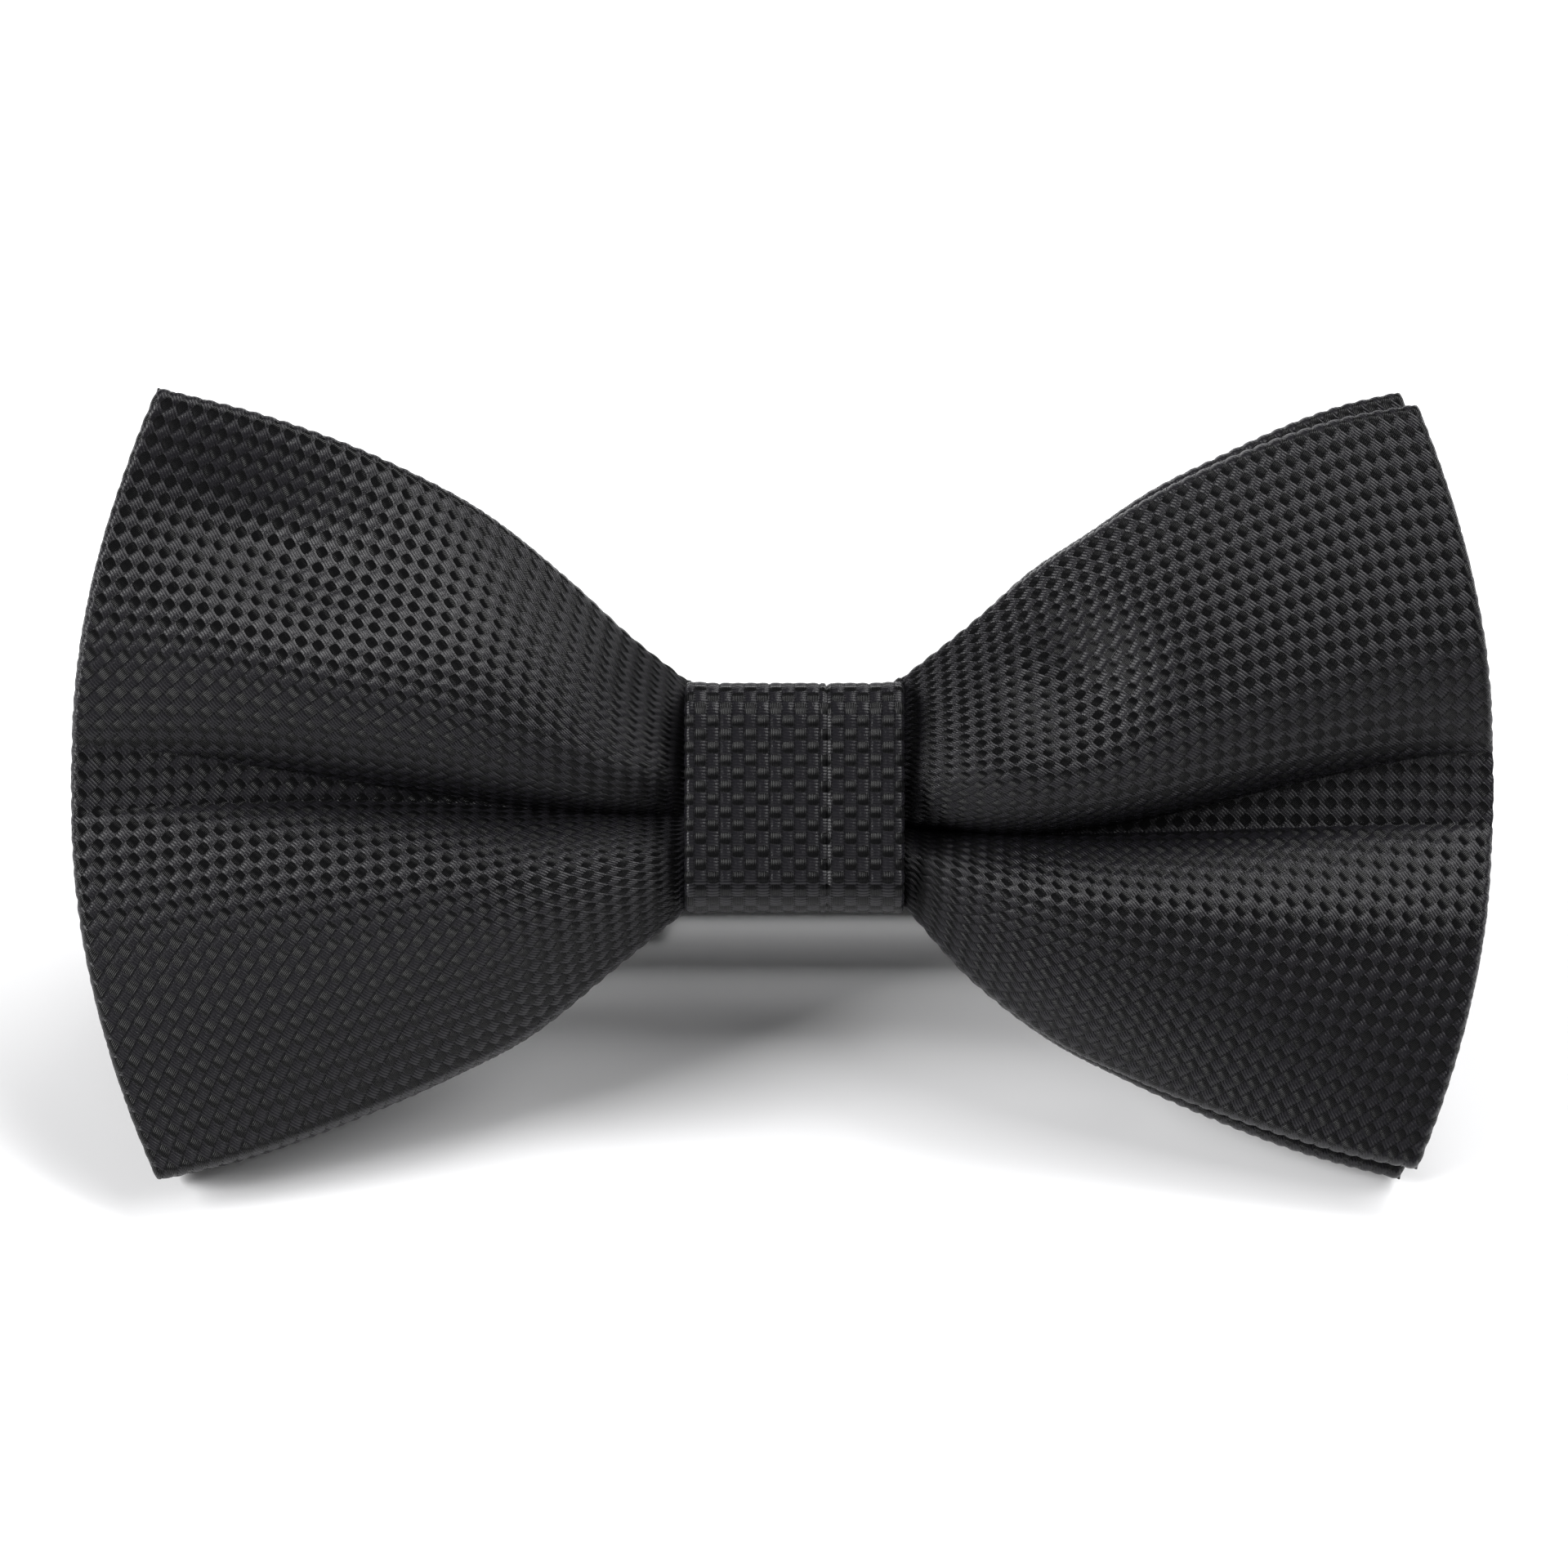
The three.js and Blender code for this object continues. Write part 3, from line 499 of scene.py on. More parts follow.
# Each wing's curves run from the knot, 0, to the tip, 1, in mm. reach and sag give the tip's line; top, low
# and pleat are heights; shelf and overlap shape the fold beside the pleat; the rest are depths of the face.
FRONT_LEFT = {
    "sign": -1, "reach": 61.0, "sag": 7.3, "fold_y": -1.3, "back_y": -0.3,
    "top": through([
        (0, 9.8), (0.1, 13.3), (0.22, 18.2), (0.37, 23.6),
        (0.56, 28.2), (0.79, 32.1), (1, 34.5),
    ]),
    "low": through([
        (0, -9.4), (0.13, -14.1), (0.31, -20.4), (0.45, -23.6),
        (0.61, -26.7), (0.86, -30.7), (1, -32.2),
    ]),
    "pleat": through([(0, -1.5), (0.2, -1.2), (0.4, -0.5), (0.7, -0.4), (1, -1.2)]),
    "shelf": through([(0, 0.0), (0.25, 0.01), (0.45, 0.04), (0.67, 0.09), (0.88, 0.14), (1, 0.16)]),
    "upper": through([(0, 2.6), (0.08, 5.0), (0.3, 7.6), (0.5, 6.8), (0.75, 4.6), (0.9, 2.8), (1, 1.8)]),
    "lower": through([(0, 2.2), (0.08, 3.6), (0.3, 6.8), (0.5, 6.0), (0.75, 4.2), (0.9, 2.8), (1, 1.8)]),
    "valley": through([(0, 0.8), (0.3, 0.9), (0.6, 1.5), (0.8, 2.1), (1, 2.7)]),
    "edge_depth": through([(0, 2.3), (0.4, 2.4), (1, 3.4)]),
    "overlap": through([(0, 0.0), (0.1, 0.3), (0.35, 0.6), (0.6, 0.4), (0.8, 0.1), (1, 0.0)]),
    "crisp": (0.25, 0.3), "rise": (0.18, 0.3), "fall": (2.2, 2.4),
    "mounds": [((-43.5, 22.0), (12.0, 6.5), -22, -3.4), ((-11.0, 8.5), (6.5, 5.0), 35, -0.9)],
}
FRONT_RIGHT = {
    "sign": 1, "reach": 59.0, "sag": 6.5, "fold_y": -1.3, "back_y": -0.3,
    "top": through([
        (0, 10.0), (0.12, 14.1), (0.25, 18.8), (0.37, 22.3),
        (0.49, 25.5), (0.61, 28.1), (0.86, 32.0), (1, 33.1),
    ]),
    "low": through([
        (0, -8.8), (0.12, -14.6), (0.21, -17.9), (0.29, -20.3),
        (0.45, -23.7), (0.61, -26.5), (0.9, -30.4), (1, -31.3),
    ]),
    "pleat": through([(0, -2.5), (0.2, -3.1), (0.43, -3.0), (0.65, -2.6), (0.86, -2.3), (1, -2.2)]),
    "shelf": through([
        (0, 0.0), (0.25, 0.01), (0.42, 0.05), (0.63, 0.11),
        (0.78, 0.145), (0.93, 0.17), (1, 0.17),
    ]),
    "upper": through([
        (0, 2.6), (0.08, 5.0), (0.16, 6.6), (0.3, 7.4),
        (0.5, 6.8), (0.75, 4.8), (0.9, 3.4), (1, 2.4),
    ]),
    "lower": through([(0, 2.2), (0.08, 3.4), (0.3, 5.6), (0.5, 5.2), (0.75, 3.6), (0.9, 2.6), (1, 1.8)]),
    "valley": through([(0, 0.8), (0.3, 0.8), (0.6, 0.8), (0.85, 0.9), (1, 1.4)]),
    "edge_depth": through([(0, 2.3), (0.4, 2.4), (1, 3.4)]),
    "overlap": through([
        (0, 0.0), (0.1, 0.5), (0.35, 1.2), (0.6, 1.2),
        (0.8, 0.9), (0.93, 0.5), (1, 0.2),
    ]),
    "crisp": (0.45, 0.4), "rise": (0.14, 0.28), "fall": (2.2, 2.6),
    "mounds": [((23.0, 9.5), (6.5, 6.0), 0, -2.8)],
}
FLAT = through([(0, 0.0), (1, 0.0)])
REAR_LEFT = {
    **FRONT_LEFT, "reach": 59.8, "sag": 6.8, "fold_y": 1.5, "edge_depth": FLAT, "valley": FLAT,
    "top": through([
        (0, 9.6), (0.1, 13.1), (0.22, 17.9), (0.37, 23.2),
        (0.56, 27.8), (0.79, 31.7), (1, 33.9),
    ]),
    "overlap": FLAT, "upper": FLAT, "lower": FLAT, "mounds": [],
}
REAR_RIGHT = {
    **REAR_LEFT, "sign": 1, "reach": 57.6, "sag": 6.3, "pleat": FRONT_RIGHT["pleat"],
    "top": through([
        (0, 10.0), (0.13, 14.2), (0.25, 18.8), (0.38, 22.5),
        (0.5, 25.9), (0.63, 28.7), (0.88, 33.1), (1, 34.3),
    ]),
    "low": through([
        (0, -8.8), (0.13, -15.0), (0.21, -17.9), (0.3, -20.6),
        (0.46, -24.1), (0.63, -27.3), (0.8, -30.0), (1, -32.3),
    ]),
}


REAR_BACK_Y = 2.75  # mm, the back face's depth at its pleat and edges


def rear_back(wing, s, q):
    """The rear bow's back face: nearly flat, with a shallow pleat."""
    points = front_face(wing, s, q)
    swell = 0.2 + 0.8 * np.sin(np.pi * np.clip(s / FLAT_WING, 0, 1) ** 0.7)
    points[..., 1] = REAR_BACK_Y + swell * np.sin(np.pi * np.clip(np.abs(q), 0, 1)) ** 0.8
    return points


front_wings = [
    wing_tube("front_bow_left_wing", FRONT_LEFT, FINE, COARSE, flat_back),
    wing_tube("front_bow_right_wing", FRONT_RIGHT, FINE, COARSE, flat_back),
]
rear_wings = [
    wing_tube("rear_bow_left_wing", REAR_LEFT, COARSE, MEDIUM, rear_back),
    wing_tube("rear_bow_right_wing", REAR_RIGHT, COARSE, MEDIUM, rear_back),
]
for node, wings in (("front_bow_shell", front_wings), ("rear_bow_shell", rear_wings)):
    for piece in wings:
        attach(piece, "bow")
        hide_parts(node)

# ---- The interlinings ----
# A stiff woven canvas lies inside each bow, cut a little smaller than the bow, and keeps it crisp.
# It is loose between the panels and pinched with them at the waist.
LINING_THICKNESS = 0.3  # mm
LINING_HIGH, LINING_LONG = 0.93, 0.955  # shares of the bow's height and of the wing's length
LINING_ROWS, LINING_SAMPLES = 61, 401
# Dark canvas: coarse, dull and plain, so nothing of it shines through the gaps of the bow.
canvas_cloth, tree = new_material("stiff_woven_canvas")
place = add(tree, "ShaderNodeUVMap", uv_map="threads")
checks = add(tree, "ShaderNodeTexChecker", {"Vector": place.outputs[0], "Scale": 2.0})
canvas_tones = {0: checks.outputs["Fac"], 6: linear("#34332f"), 7: linear("#46443f")}
shown = add(tree, "ShaderNodeMix", canvas_tones, data_type="RGBA")
bump = add(tree, "ShaderNodeBump", {"Height": checks.outputs["Fac"], "Strength": 0.6, "Distance": 0.00005})
shade(tree, add(tree, "ShaderNodeBsdfPrincipled", {
    "Base Color": shown.outputs[2], "Roughness": 0.85, "Normal": bump.outputs[0],
}).outputs[0])


def lining(name, wings, back_faces):
    """A closed thin sheet halfway between a bow's front and back faces, from tip to tip."""
    v = np.linspace(-LINING_HIGH, LINING_HIGH, LINING_ROWS)
    sides = []
    for wing, back_face in zip(wings, back_faces):
        inside_knot = np.arange(-KNOT_HALF_WIDTH + 0.2, 0, KNOT_STEP)
        columns = np.concatenate([inside_knot, np.arange(0, LINING_LONG * FLAT_WING, 1.0)])
        dense = even_rows(wing, columns, LINING_SAMPLES)
        q = np.array([np.interp(v, np.linspace(-1, 1, LINING_SAMPLES), row) for row in dense])
        s = np.repeat(columns[:, None], len(v), 1)
        front, back = front_face(wing, s, q), back_face(wing, s, q)
        middle = (front + back) / 2
        gap = np.abs(front[..., 1] - back[..., 1])
        flat_x = wing["sign"] * np.repeat(columns[:, None], len(v), 1)
        sides.append((middle, np.minimum(gap * 0.3, LINING_THICKNESS) / 2, flat_x))
    middle, half, flat_x = (np.concatenate([sides[0][n][::-1], sides[1][n]]) for n in range(3))
    front, back = middle.copy(), middle[:, -2:0:-1].copy()
    front[..., 1] -= half * np.where(np.abs(v) == v.max(), 0, 1)
    back[..., 1] += half[:, -2:0:-1]
    points = np.concatenate([front, back], 1).transpose(1, 0, 2)
    flat_x = np.concatenate([flat_x, flat_x[:, -2:0:-1]], 1).T
    flat_z = np.concatenate([v, v[-2:0:-1]])[:, None] * FLAT_HALF_HEIGHT + 0 * flat_x
    threads = np.stack([flat_x, flat_z], -1)
    return tube(name, points, threads, len(v), [0, points.shape[1] - 1], [canvas_cloth])


front_lining = lining("front_bow_canvas", (FRONT_LEFT, FRONT_RIGHT), (flat_back, flat_back))
rear_lining = lining("rear_bow_canvas", (REAR_LEFT, REAR_RIGHT), (rear_back, rear_back))
for piece, node in ((front_lining, "front_bow_interlining"), (rear_lining, "rear_bow_interlining")):
    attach(piece, "bow")
    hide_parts(node)

# ---- The binding and the knot ----
# A cotton tape binds both bows at the waist. Over it goes the knot, a strip of the bow's cloth folded so
# that its edges meet in a line right of the middle. It is cut on grain, with the warp upright.
KNOT_REAR_Y, KNOT_HALF_HEIGHT = 7.15, 9.55
KNOT_CORNER, KNOT_WALL, KNOT_EDGE = 3.0, 1.0, 0.4  # mm: corner radius, thickness, roundness of its edges
KNOT_CROWN = 0.25  # mm that the faces bulge
SEAM_X, SEAM_DEPTH, SEAM_WIDTH = 2.75, 0.32, 0.16  # mm, the line where the folded edges meet
TAPE_HALF_WIDTH, TAPE_THICKNESS, TAPE_HALF_DEPTH, TAPE_HALF_HEIGHT = 7.1, 0.55, 4.35, 8.25


def ring_path(front, rear, half_height, corner, step, crown=0.0):
    """Points (y, z) and outward directions round a rounded box, from the rear's middle downwards."""
    middle, half_y = (front + rear) / 2, (rear - front) / 2
    straight_z, straight_y = half_height - corner, half_y - corner
    turn = corner * math.pi / 2
    level, upright = [2 * straight_y, turn], [2 * straight_z, turn]
    lengths = [straight_z, turn] + level + upright + level + [straight_z]
    marks = np.concatenate([[0], np.cumsum(lengths)])
    along = np.linspace(0, marks[-1], int(marks[-1] / step) + 1)[:-1]
    corners = ((1, -1), (-1, -1), (-1, 1), (1, 1))
    corner_starts = (0.0, -math.pi / 2, math.pi, math.pi / 2)
    points, normals = np.zeros((len(along), 2)), np.zeros((len(along), 2))
    for n, d in enumerate(along):
        leg = min(np.searchsorted(marks, d, side="right") - 1, 8)
        done = d - marks[leg]
        if leg % 2:
            sy, sz = corners[leg // 2]
            angle = corner_starts[leg // 2] - done / corner
            normals[n] = math.cos(angle), math.sin(angle)
            points[n] = (middle + sy * straight_y, sz * straight_z) + corner * normals[n]
        else:
            side = leg // 2 % 4
            normals[n] = ((1, 0), (0, -1), (-1, 0), (0, 1))[side]
            start = (0, straight_y, -straight_z, -straight_y, straight_z)[leg // 2]
            points[n] = (
                (rear, start - done), (middle + start - done, -half_height), (front, start + done),
                (middle + start + done, half_height),
            )[side]
    bulge = np.cos(np.pi / 2 * np.clip(points[:, 1] / half_height, -1, 1)) ** 1.2
    points += normals * (crown * bulge)[:, None]
    return points, normals, along


def ring_tube(name, path, xs_out, out, xs_in, inner, materials=()):
    """A band round the waist, closed both round the ring and round its own folded section."""
    points, normals, along = path
    xs = np.concatenate([xs_out, xs_in[::-1]])
    lift = np.concatenate([out, inner[::-1]])
    count = len(xs)
    ring = points[:, None, :] + normals[:, None, :] * lift[None, :, None]
    solid = np.concatenate([np.broadcast_to(xs[None, :, None], ring.shape[:2] + (1,)), ring], -1)
    rows = len(points)
    i, j = np.meshgrid(np.arange(rows), np.arange(count), indexing="ij")
    k, m = (i + 1) % rows, (j + 1) % count
    faces = np.stack([i * count + j, k * count + j, k * count + m, i * count + m], -1).reshape(-1, 4)
    section = np.concatenate([xs_out, 2 * xs_out[-1] - xs_in[::-1]])
    threads = np.stack(np.broadcast_arrays(along[:, None], section[None, :]), -1)
    return make_mesh(name, solid.reshape(-1, 3), faces, threads.reshape(-1, 2), materials)


half_turn = KNOT_EDGE * np.sin(np.linspace(0, np.pi / 2, 6))[1:]
flat_edge = KNOT_HALF_WIDTH - KNOT_EDGE
knot_x = np.arange(-flat_edge, flat_edge, 0.2)
knot_x = np.concatenate([-flat_edge - half_turn[::-1], knot_x, flat_edge + half_turn])
lift = -KNOT_WALL / 2 * (1 - rounded(KNOT_HALF_WIDTH - np.abs(knot_x), KNOT_EDGE))
lift = lift - SEAM_DEPTH * np.exp(-(((knot_x - SEAM_X) / SEAM_WIDTH) ** 2))
lift = lift + 0.1 * smooth_step(6.5, 8.6, np.abs(knot_x))  # the sides stand a little proud
inner_x = np.linspace(-KNOT_HALF_WIDTH + 0.1, KNOT_HALF_WIDTH - 0.1, 10)
inner_lift = -KNOT_WALL + 0.1 * (np.abs(inner_x) > KNOT_HALF_WIDTH - 0.3)
knot_path = ring_path(KNOT_FRONT_Y, KNOT_REAR_Y, KNOT_HALF_HEIGHT, KNOT_CORNER, 0.2, KNOT_CROWN)
knot = ring_tube("knot_wrap", knot_path, knot_x, lift, inner_x, inner_lift)
through_nodes(knot, WEAVE_RELIEF, {"Float height": FLOAT_HEIGHT * MM, "Cloth": bow_cloth})
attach(knot, "bow")
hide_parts("knot_band")

# Black cotton tape: dull, with fine ribs across it.
tape_cloth, tree = new_material("black_cotton_tape")
place = add(tree, "ShaderNodeUVMap", uv_map="threads")
rib_waves = {"Vector": place.outputs[0], "Scale": 1.6, "Distortion": 0.3}
ribs = add(tree, "ShaderNodeTexWave", rib_waves, bands_direction="X")
bump = add(tree, "ShaderNodeBump", {"Height": ribs.outputs[0], "Strength": 0.6, "Distance": 0.0001})
shade(tree, add(tree, "ShaderNodeBsdfPrincipled", {
    "Base Color": linear("#1b1b1d"), "Roughness": 0.8, "Sheen Weight": 0.1, "Normal": bump.outputs[0],
}).outputs[0])
tape_x = np.linspace(-TAPE_HALF_WIDTH, TAPE_HALF_WIDTH, 40)
tape_in = np.linspace(-TAPE_HALF_WIDTH + 0.1, TAPE_HALF_WIDTH - 0.1, 8)
tape = ring_tube(
    "waist_tape", ring_path(-TAPE_HALF_DEPTH, TAPE_HALF_DEPTH, TAPE_HALF_HEIGHT, 1.6, 0.5), tape_x,
    -0.3 * (1 - rounded(TAPE_HALF_WIDTH - np.abs(tape_x), 0.4)), tape_in,
    np.full(len(tape_in), -TAPE_THICKNESS), [tape_cloth],
)
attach(tape, "bow")
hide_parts("waist_binding")

# ---- The knot's stiffener and its hand seam ----
# A canvas stiffener lies behind the knot's front. The knot is closed at the back by hand, with a row of
# slanting whip stitches in black thread.
SLAB_EDGE = 0.25  # mm, the roundness of the stiffener's edges


def slab(name, low, high, materials, step=1.0):
    """A thin closed sheet with rounded edges, square to the bow's frame. It is thin along y."""
    xs = np.linspace(low[0], high[0], int((high[0] - low[0]) / step))
    half_z, middle_z, middle_y = (high[2] - low[2]) / 2, (high[2] + low[2]) / 2, (low[1] + high[1]) / 2
    rims = np.linspace(-1, 1, 25)
    around = np.concatenate([rims, rims[-2:0:-1]])[:, None]
    side = np.concatenate([-np.ones(len(rims)), np.ones(len(rims) - 2)])[:, None] * (high[1] - low[1]) / 2
    thick = rounded((1 - np.abs(around)) * half_z, SLAB_EDGE)
    thick = thick * np.maximum(rounded(np.minimum(xs - xs[0], xs[-1] - xs), SLAB_EDGE), 0.1)[None, :]
    ys, zs = middle_y + side * thick, middle_z + around * half_z
    points = np.stack(np.broadcast_arrays(xs[None, :], ys, zs), -1)
    return tube(name, points, points[..., [0, 2]], len(rims), [0, len(xs) - 1], materials)


stiffener = slab("knot_stiffener", (-8.7, -5.1, -7.5), (8.7, -4.7, 7.5), [canvas_cloth])
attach(stiffener, "bow")
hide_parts("knot_interlining")


def stitch_tree():
    """Geometry Nodes: lays a stitch at every pitch along a line of points."""
    group = bpy.data.node_groups.new("stitch_row", "GeometryNodeTree")
    face = group.interface
    face.new_socket("Geometry", in_out="INPUT", socket_type="NodeSocketGeometry")
    for name in ("Pitch", "Stitch length", "Thread radius", "Slant"):
        face.new_socket(name, in_out="INPUT", socket_type="NodeSocketFloat")
    face.new_socket("Cloth face", in_out="INPUT", socket_type="NodeSocketVector")
    face.new_socket("Thread", in_out="INPUT", socket_type="NodeSocketMaterial")
    face.new_socket("Geometry", in_out="OUTPUT", socket_type="NodeSocketGeometry")
    start = add(group, "NodeGroupInput")
    line = add(group, "GeometryNodeMeshToCurve", {"Mesh": start.outputs["Geometry"]})
    spots = add(group, "GeometryNodeResampleCurve", {
        "Curve": line.outputs[0], "Length": start.outputs["Pitch"],
    }, mode="LENGTH")
    way = add(group, "GeometryNodeInputTangent")
    across = add(group, "ShaderNodeVectorMath", {
        0: start.outputs["Cloth face"], 1: way.outputs[0],
    }, operation="CROSS_PRODUCT")
    lean = add(group, "ShaderNodeVectorMath", {
        0: across.outputs[0], "Scale": start.outputs["Slant"],
    }, operation="SCALE")
    lie = add(group, "ShaderNodeVectorMath", {0: way.outputs[0], 1: lean.outputs[0]}, operation="ADD")
    turn = add(group, "FunctionNodeAlignRotationToVector", {"Vector": lie.outputs[0]}, axis="X")
    ball = add(group, "GeometryNodeMeshUVSphere", {"Segments": 8, "Rings": 6, "Radius": 0.5})
    wide = add(group, "ShaderNodeMath", {0: start.outputs["Thread radius"], 1: 2.0}, operation="MULTIPLY")
    size = add(group, "ShaderNodeCombineXYZ", {
        0: start.outputs["Stitch length"], 1: wide.outputs[0], 2: wide.outputs[0],
    })
    laid = add(group, "GeometryNodeInstanceOnPoints", {
        "Points": spots.outputs[0], "Instance": ball.outputs["Mesh"], "Rotation": turn.outputs[0],
        "Scale": size.outputs[0],
    })
    real = add(group, "GeometryNodeRealizeInstances", {0: laid.outputs[0]})
    dressed = add(group, "GeometryNodeSetMaterial", {
        0: real.outputs[0], "Material": start.outputs["Thread"],
    })
    add(group, "NodeGroupOutput", {0: dressed.outputs[0]})
    return group


STITCHES = stitch_tree()
# Spun sewing thread: twisted, half dull, a shade lighter than the cloth.
sewing_thread, tree = new_material("black_spun_thread")
place = add(tree, "ShaderNodeTexCoord")
twist_waves = {"Vector": place.outputs["Object"], "Scale": 900.0, "Distortion": 1.0}
twist = add(tree, "ShaderNodeTexWave", twist_waves, bands_direction="DIAGONAL")
bump = add(tree, "ShaderNodeBump", {"Height": twist.outputs[0], "Strength": 0.5, "Distance": 0.00004})
shade(tree, add(tree, "ShaderNodeBsdfPrincipled", {
    "Base Color": linear("#1c1c1f"), "Roughness": 0.5, "Sheen Weight": 0.15, "Normal": bump.outputs[0],
}).outputs[0])


def stitched(name, points, pitch, length, radius, slant, node, body):
    """A row of stitches through points (x, y, z) in the bow's frame."""
    matrix = np.array(BOW)
    placed = (np.asarray(points) * MM) @ matrix[:3, :3].T + matrix[:3, 3]
    mesh = bpy.data.meshes.new(name)
    mesh.from_pydata([tuple(p) for p in placed], [(n, n + 1) for n in range(len(placed) - 1)], [])
    piece = bpy.data.objects.new(name, mesh)
    bpy.context.collection.objects.link(piece)
    through_nodes(piece, STITCHES, {
        "Pitch": pitch * MM, "Stitch length": length * MM, "Thread radius": radius * MM, "Slant": slant,
        "Cloth face": tuple(back_axis), "Thread": sewing_thread,
    })
    piece.data.polygons.foreach_set("use_smooth", [True] * len(piece.data.polygons))
    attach(piece, body)
    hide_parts(node)
    return piece


stitched(
    "knot_hand_seam", [(0, 7.62, -7.4), (0, 7.66, 0), (0, 7.62, 7.4)], pitch=1.25, length=1.9,
    radius=0.17, slant=0.9, node="knot_seam_thread", body="bow",
)

# ---- The neck band ----
# A tubular black satin ribbon with woven edges. It is folded up behind the bow: one end is sewn round
# the hook's bar, and the other passes the eye and comes back to be sewn round the slide's middle bar.
BAND_HALF_WIDTH, BAND_HALF_THICKNESS = 6.5, 0.55
BAND_LAYERS = [5.25, 11.75, 18.25, 24.75]
LEFT_FOLD_X, RIGHT_FOLD_X = -40.0, 32.0
HOOK_BAR, EYE_BAR, SLIDE_BAR = (38.0, 16.75), (20.0, 26.9), (-16.0, 27.65)
HOOK_LOOP, EYE_LOOP, SLIDE_LOOP = 1.5, 2.15, 1.4
RETURN_Y, RETURN_START, RETURN_END = 29.05, -9.8, 16.8
WOVEN_EDGE = 0.9  # share of the half width at which the woven edge begins

band_satin, tree = new_material("black_satin_ribbon")
place = add(tree, "ShaderNodeUVMap", uv_map="threads")
split = add(tree, "ShaderNodeSeparateXYZ", {0: place.outputs[0]})
# Fine cross ribs every 0.5 mm, drawn coarser than the real 0.2 mm so that they show, and a dense
# woven edge 0.8 mm wide.
rib = add(tree, "ShaderNodeMath", {0: split.outputs[0], 1: 2 * math.pi / 0.5}, operation="MULTIPLY")
rib = add(tree, "ShaderNodeMath", {0: rib.outputs[0]}, operation="SINE")
edge_far = add(tree, "ShaderNodeMath", {0: split.outputs[1]}, operation="ABSOLUTE")
edge = add(tree, "ShaderNodeMapRange", {
    0: edge_far.outputs[0], 1: BAND_HALF_WIDTH - 0.9, 2: BAND_HALF_WIDTH - 0.7,
})
cords = add(tree, "ShaderNodeMath", {0: split.outputs[1], 1: 2 * math.pi / 0.35}, operation="MULTIPLY")
cords = add(tree, "ShaderNodeMath", {0: cords.outputs[0]}, operation="SINE")
height = add(tree, "ShaderNodeMix", {0: edge.outputs[0], 2: rib.outputs[0], 3: cords.outputs[0]})
bump = add(tree, "ShaderNodeBump", {"Height": height.outputs[0], "Strength": 0.35, "Distance": 0.00006})
wear = add(tree, "ShaderNodeTexNoise", {"Vector": place.outputs[0], "Scale": 0.4, "Detail": 5.0})
satin_tones = {0: wear.outputs[0], 6: linear("#0c0c0e"), 7: linear("#18181b")}
shown = add(tree, "ShaderNodeMix", satin_tones, data_type="RGBA")
tangent = add(tree, "ShaderNodeTangent", direction_type="UV_MAP", uv_map="threads")
shade(tree, add(tree, "ShaderNodeBsdfPrincipled", {
    "Base Color": shown.outputs[2], "Roughness": 0.34, "Anisotropic": 0.6, "Anisotropic Rotation": 0.25,
    "Sheen Weight": 0.08, "Normal": bump.outputs[0], "Tangent": tangent.outputs[0],
}).outputs[0])


def arc(centre, radius, start, end):
    """Points (x, y) of a turn, from one angle to another, in degrees."""
    count = max(8, int(abs(math.radians(end - start)) * radius / 0.35))
    angles = np.radians(np.linspace(start, end, count))
    return np.stack([centre[0] + radius * np.cos(angles), centre[1] + radius * np.sin(angles)], -1)


def path_through(*legs):
    """Points at most 1 mm apart along straight legs and turns."""
    raw = np.concatenate([np.atleast_2d(np.array(leg, float)) for leg in legs])
    keep = np.concatenate([[True], np.linalg.norm(np.diff(raw, axis=0), axis=1) > 0.05])
    raw = raw[keep]
    out = [raw[0]]
    for a, b in zip(raw[:-1], raw[1:]):
        steps = max(1, int(math.ceil(np.linalg.norm(b - a) / 1.0)))
        out += [a + (b - a) * n / steps for n in range(1, steps + 1)]
    return np.array(out)


def ribbon(name, path, ends=(True, True)):
    """A tubular ribbon along a path (x, y), standing on edge, with its woven edges a little thicker."""
    way = np.gradient(path, axis=0)
    way /= np.linalg.norm(way, axis=1)[:, None]
    out = np.stack([way[:, 1], -way[:, 0]], -1)
    along = np.concatenate([[0], np.cumsum(np.linalg.norm(np.diff(path, axis=0), axis=1))])
    rim = np.linspace(WOVEN_EDGE, 1, 5)[1:]
    rims = np.concatenate([-rim[::-1], np.linspace(-WOVEN_EDGE, WOVEN_EDGE, 19), rim])
    z = rims * BAND_HALF_WIDTH
    half = (0.82 + 0.18 * smooth_step(0.84, WOVEN_EDGE, np.abs(rims))) * BAND_HALF_THICKNESS
    half = half * rounded((1 - np.abs(rims)) * BAND_HALF_WIDTH, 0.5)
    cut = np.ones(len(path))
    if ends[0]:
        cut = cut * np.maximum(rounded(along, 0.4), 0.2)
    if ends[1]:
        cut = cut * np.maximum(rounded(along[-1] - along, 0.4), 0.2)
    z_all = np.concatenate([z, z[::-1][1:-1]])
    half_all = np.concatenate([half, -half[::-1][1:-1]])
    shift = half_all[:, None] * cut[None, :]
    points = np.empty((len(z_all), len(path), 3))
    points[..., :2] = path[None] + out[None] * shift[..., None]
    points[..., 2] = z_all[:, None]
    threads = np.stack(np.broadcast_arrays(along[None, :], z_all[:, None]), -1)
    piece = tube(name, points, threads, len(z), [0, len(path) - 1], [band_satin])
    piece["cut_length"] = float(along[-1])
    return piece


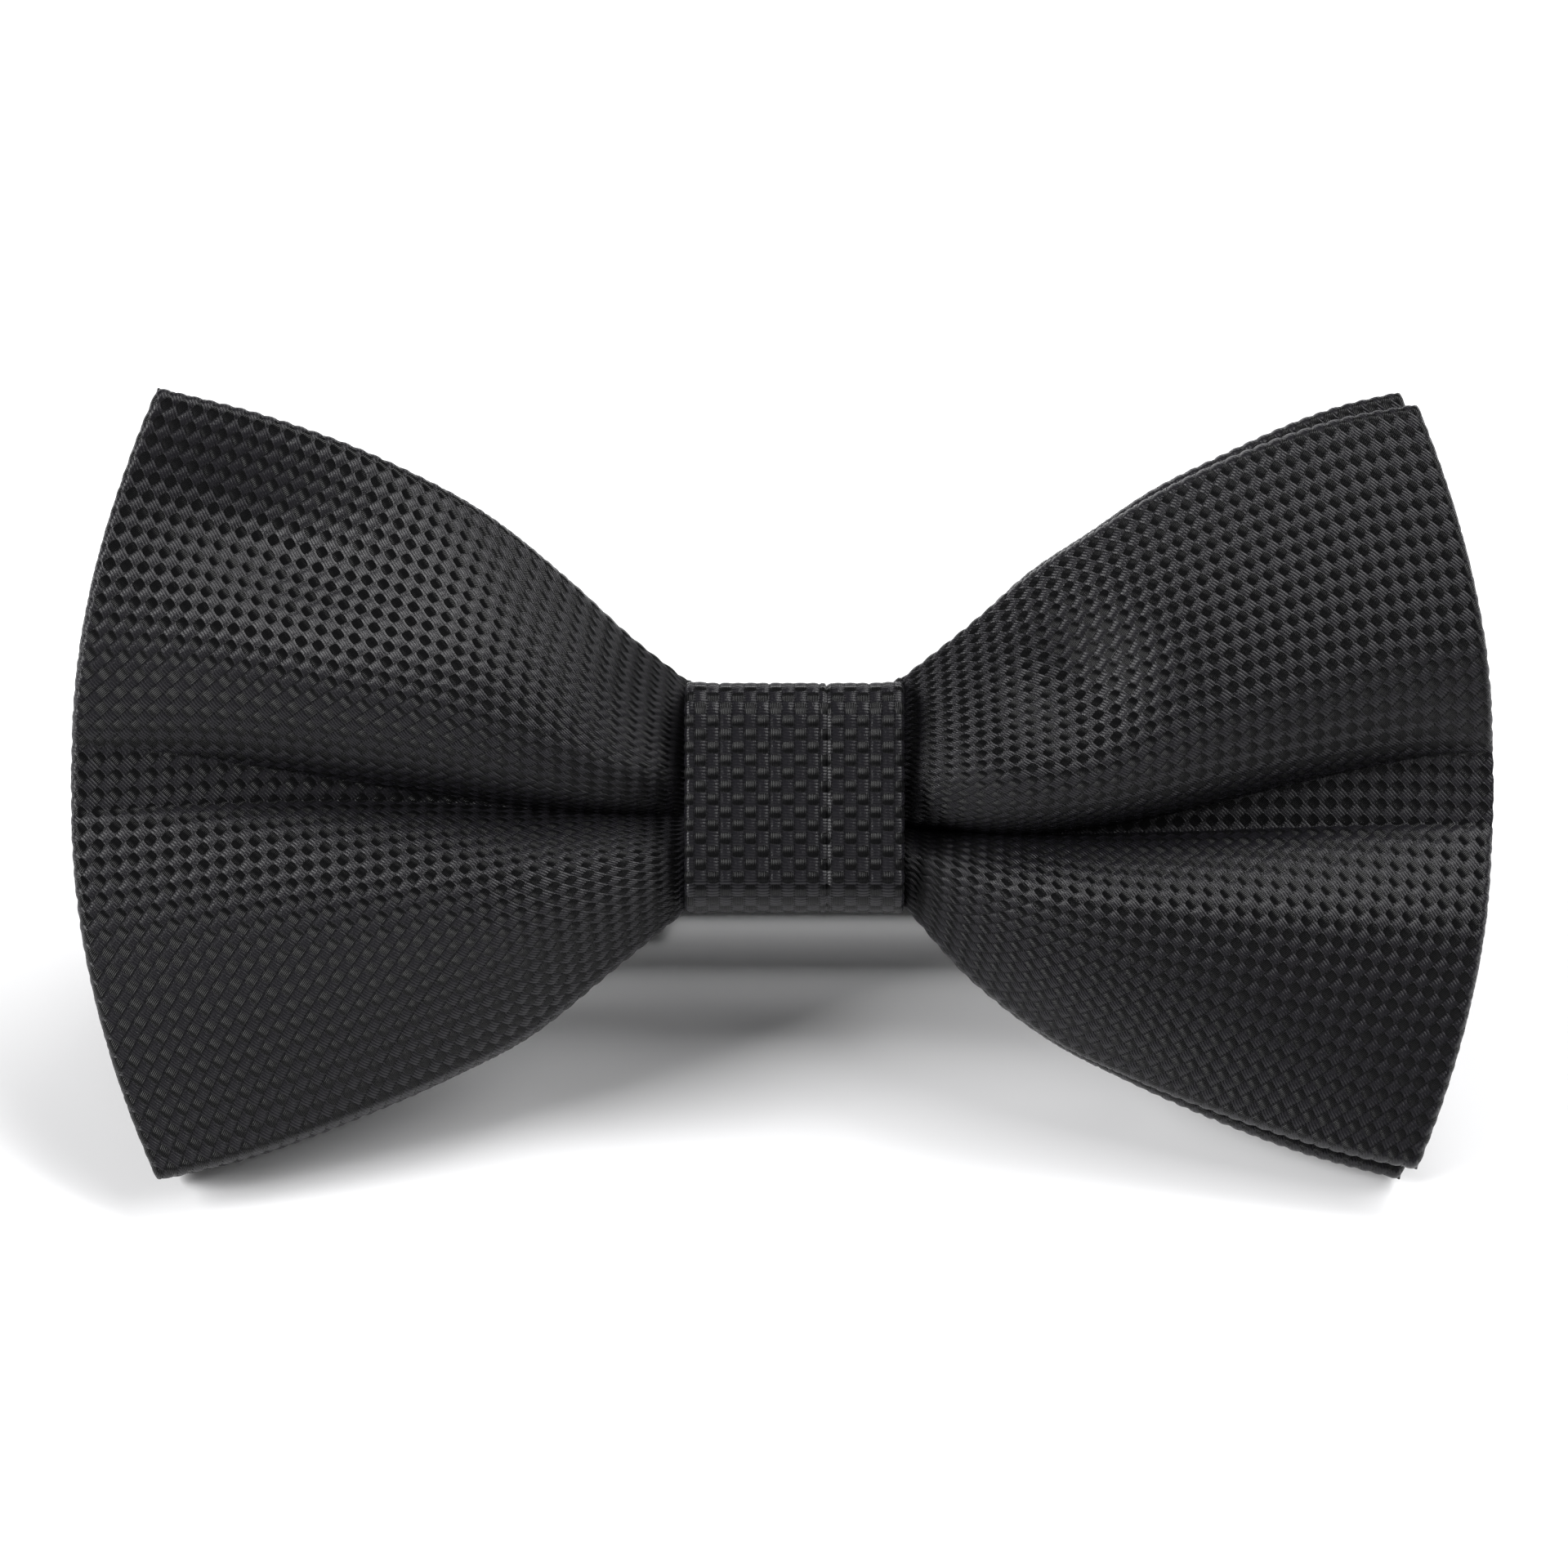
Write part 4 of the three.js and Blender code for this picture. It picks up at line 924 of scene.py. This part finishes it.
band_path = path_through(
    [(24.0, 16.75), (34.0, 16.75)], arc(HOOK_BAR, HOOK_LOOP, -90, 90),
    [(LEFT_FOLD_X, BAND_LAYERS[2])], arc((LEFT_FOLD_X, 15.0), 3.25, 90, 270),
    [(RIGHT_FOLD_X, BAND_LAYERS[1])], arc((RIGHT_FOLD_X, 8.5), 3.25, 90, -90),
    [(LEFT_FOLD_X, BAND_LAYERS[0])], arc((LEFT_FOLD_X, 15.0), 9.75, 270, 90),
    [(EYE_BAR[0], BAND_LAYERS[3])], arc(EYE_BAR, EYE_LOOP, -90, 90), [(RETURN_END - 0.2, RETURN_Y)],
)
tail_path = path_through(
    [(RETURN_START + 0.2, RETURN_Y)], arc(SLIDE_BAR, SLIDE_LOOP, 90, 270), [(-8.0, 26.25)],
)
return_path = path_through([(RETURN_START, RETURN_Y), (RETURN_END, RETURN_Y)])
main_band = ribbon("neck_ribbon", band_path, (True, False))
return_band = ribbon("neck_ribbon_return", return_path, (False, False))
tail_band = ribbon("neck_ribbon_tail", tail_path, (False, True))
for piece, node, body, rests in (
    (main_band, "neck_band", "bow", "knot_wrap"),
    (return_band, "neck_band_return", "bow", "neck_ribbon"),
    (tail_band, "neck_band_tail", "slide", "band_slide"),
):
    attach(piece, body)
    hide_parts(node)
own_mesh(return_band)


def box_line(x, half_x, y, half_z):
    """The corners of a rectangle of stitches lying on the band."""
    corners = [(-1, -1), (1, -1), (1, 1), (-1, 1), (-1, -1)]
    return [(x + sx * half_x, y, sz * half_z) for sx, sz in corners]


for name, box, node, body in (
    ("hook_end_stitches", (28.0, 2.6, 15.95, 4.6), "hook_end_stitching", "bow"),
    ("tail_stitches", (-12.6, 1.8, 29.72, 4.6), "tail_stitching", "slide"),
):
    stitched(name, box_line(*box), pitch=0.95, length=0.8, radius=0.16, slant=0.0, node=node, body=body)

# ---- The hook, the eye and the slide ----
# Stamped and bent steel fittings, dipped in black lacquer. They keep their plain shapes: only their edges
# are softened, as the lacquer softens them.
# Black lacquer on steel: half glossy, with a fine unevenness in its gloss.
lacquer, tree = new_material("black_lacquered_steel")
place = add(tree, "ShaderNodeTexCoord")
mottle = add(tree, "ShaderNodeTexNoise", {
    "Vector": place.outputs["Object"], "Scale": 2200.0, "Detail": 3.0,
})
soft = add(tree, "ShaderNodeBevel", {"Radius": 0.0003}, samples=6)
bump = add(tree, "ShaderNodeBump", {
    "Height": mottle.outputs[0], "Strength": 0.12, "Distance": 0.00005, "Normal": soft.outputs[0],
})
rub = add(tree, "ShaderNodeMapRange", {0: mottle.outputs[0], 1: 0.3, 2: 0.7, 3: 0.3, 4: 0.4})
lacquer_tones = {0: mottle.outputs[0], 6: linear("#101012"), 7: linear("#1d1d20")}
shown = add(tree, "ShaderNodeMix", lacquer_tones, data_type="RGBA")
shade(tree, add(tree, "ShaderNodeBsdfPrincipled", {
    "Base Color": shown.outputs[2], "Roughness": rub.outputs[0], "Metallic": 0.0, "Coat Weight": 0.25,
    "Coat Roughness": 0.15, "Normal": bump.outputs[0],
}).outputs[0])
for node in ("band_hook", "band_eye", "band_slide"):
    for slot in frame["nodes"][node].material_slots:
        slot.material = lacquer
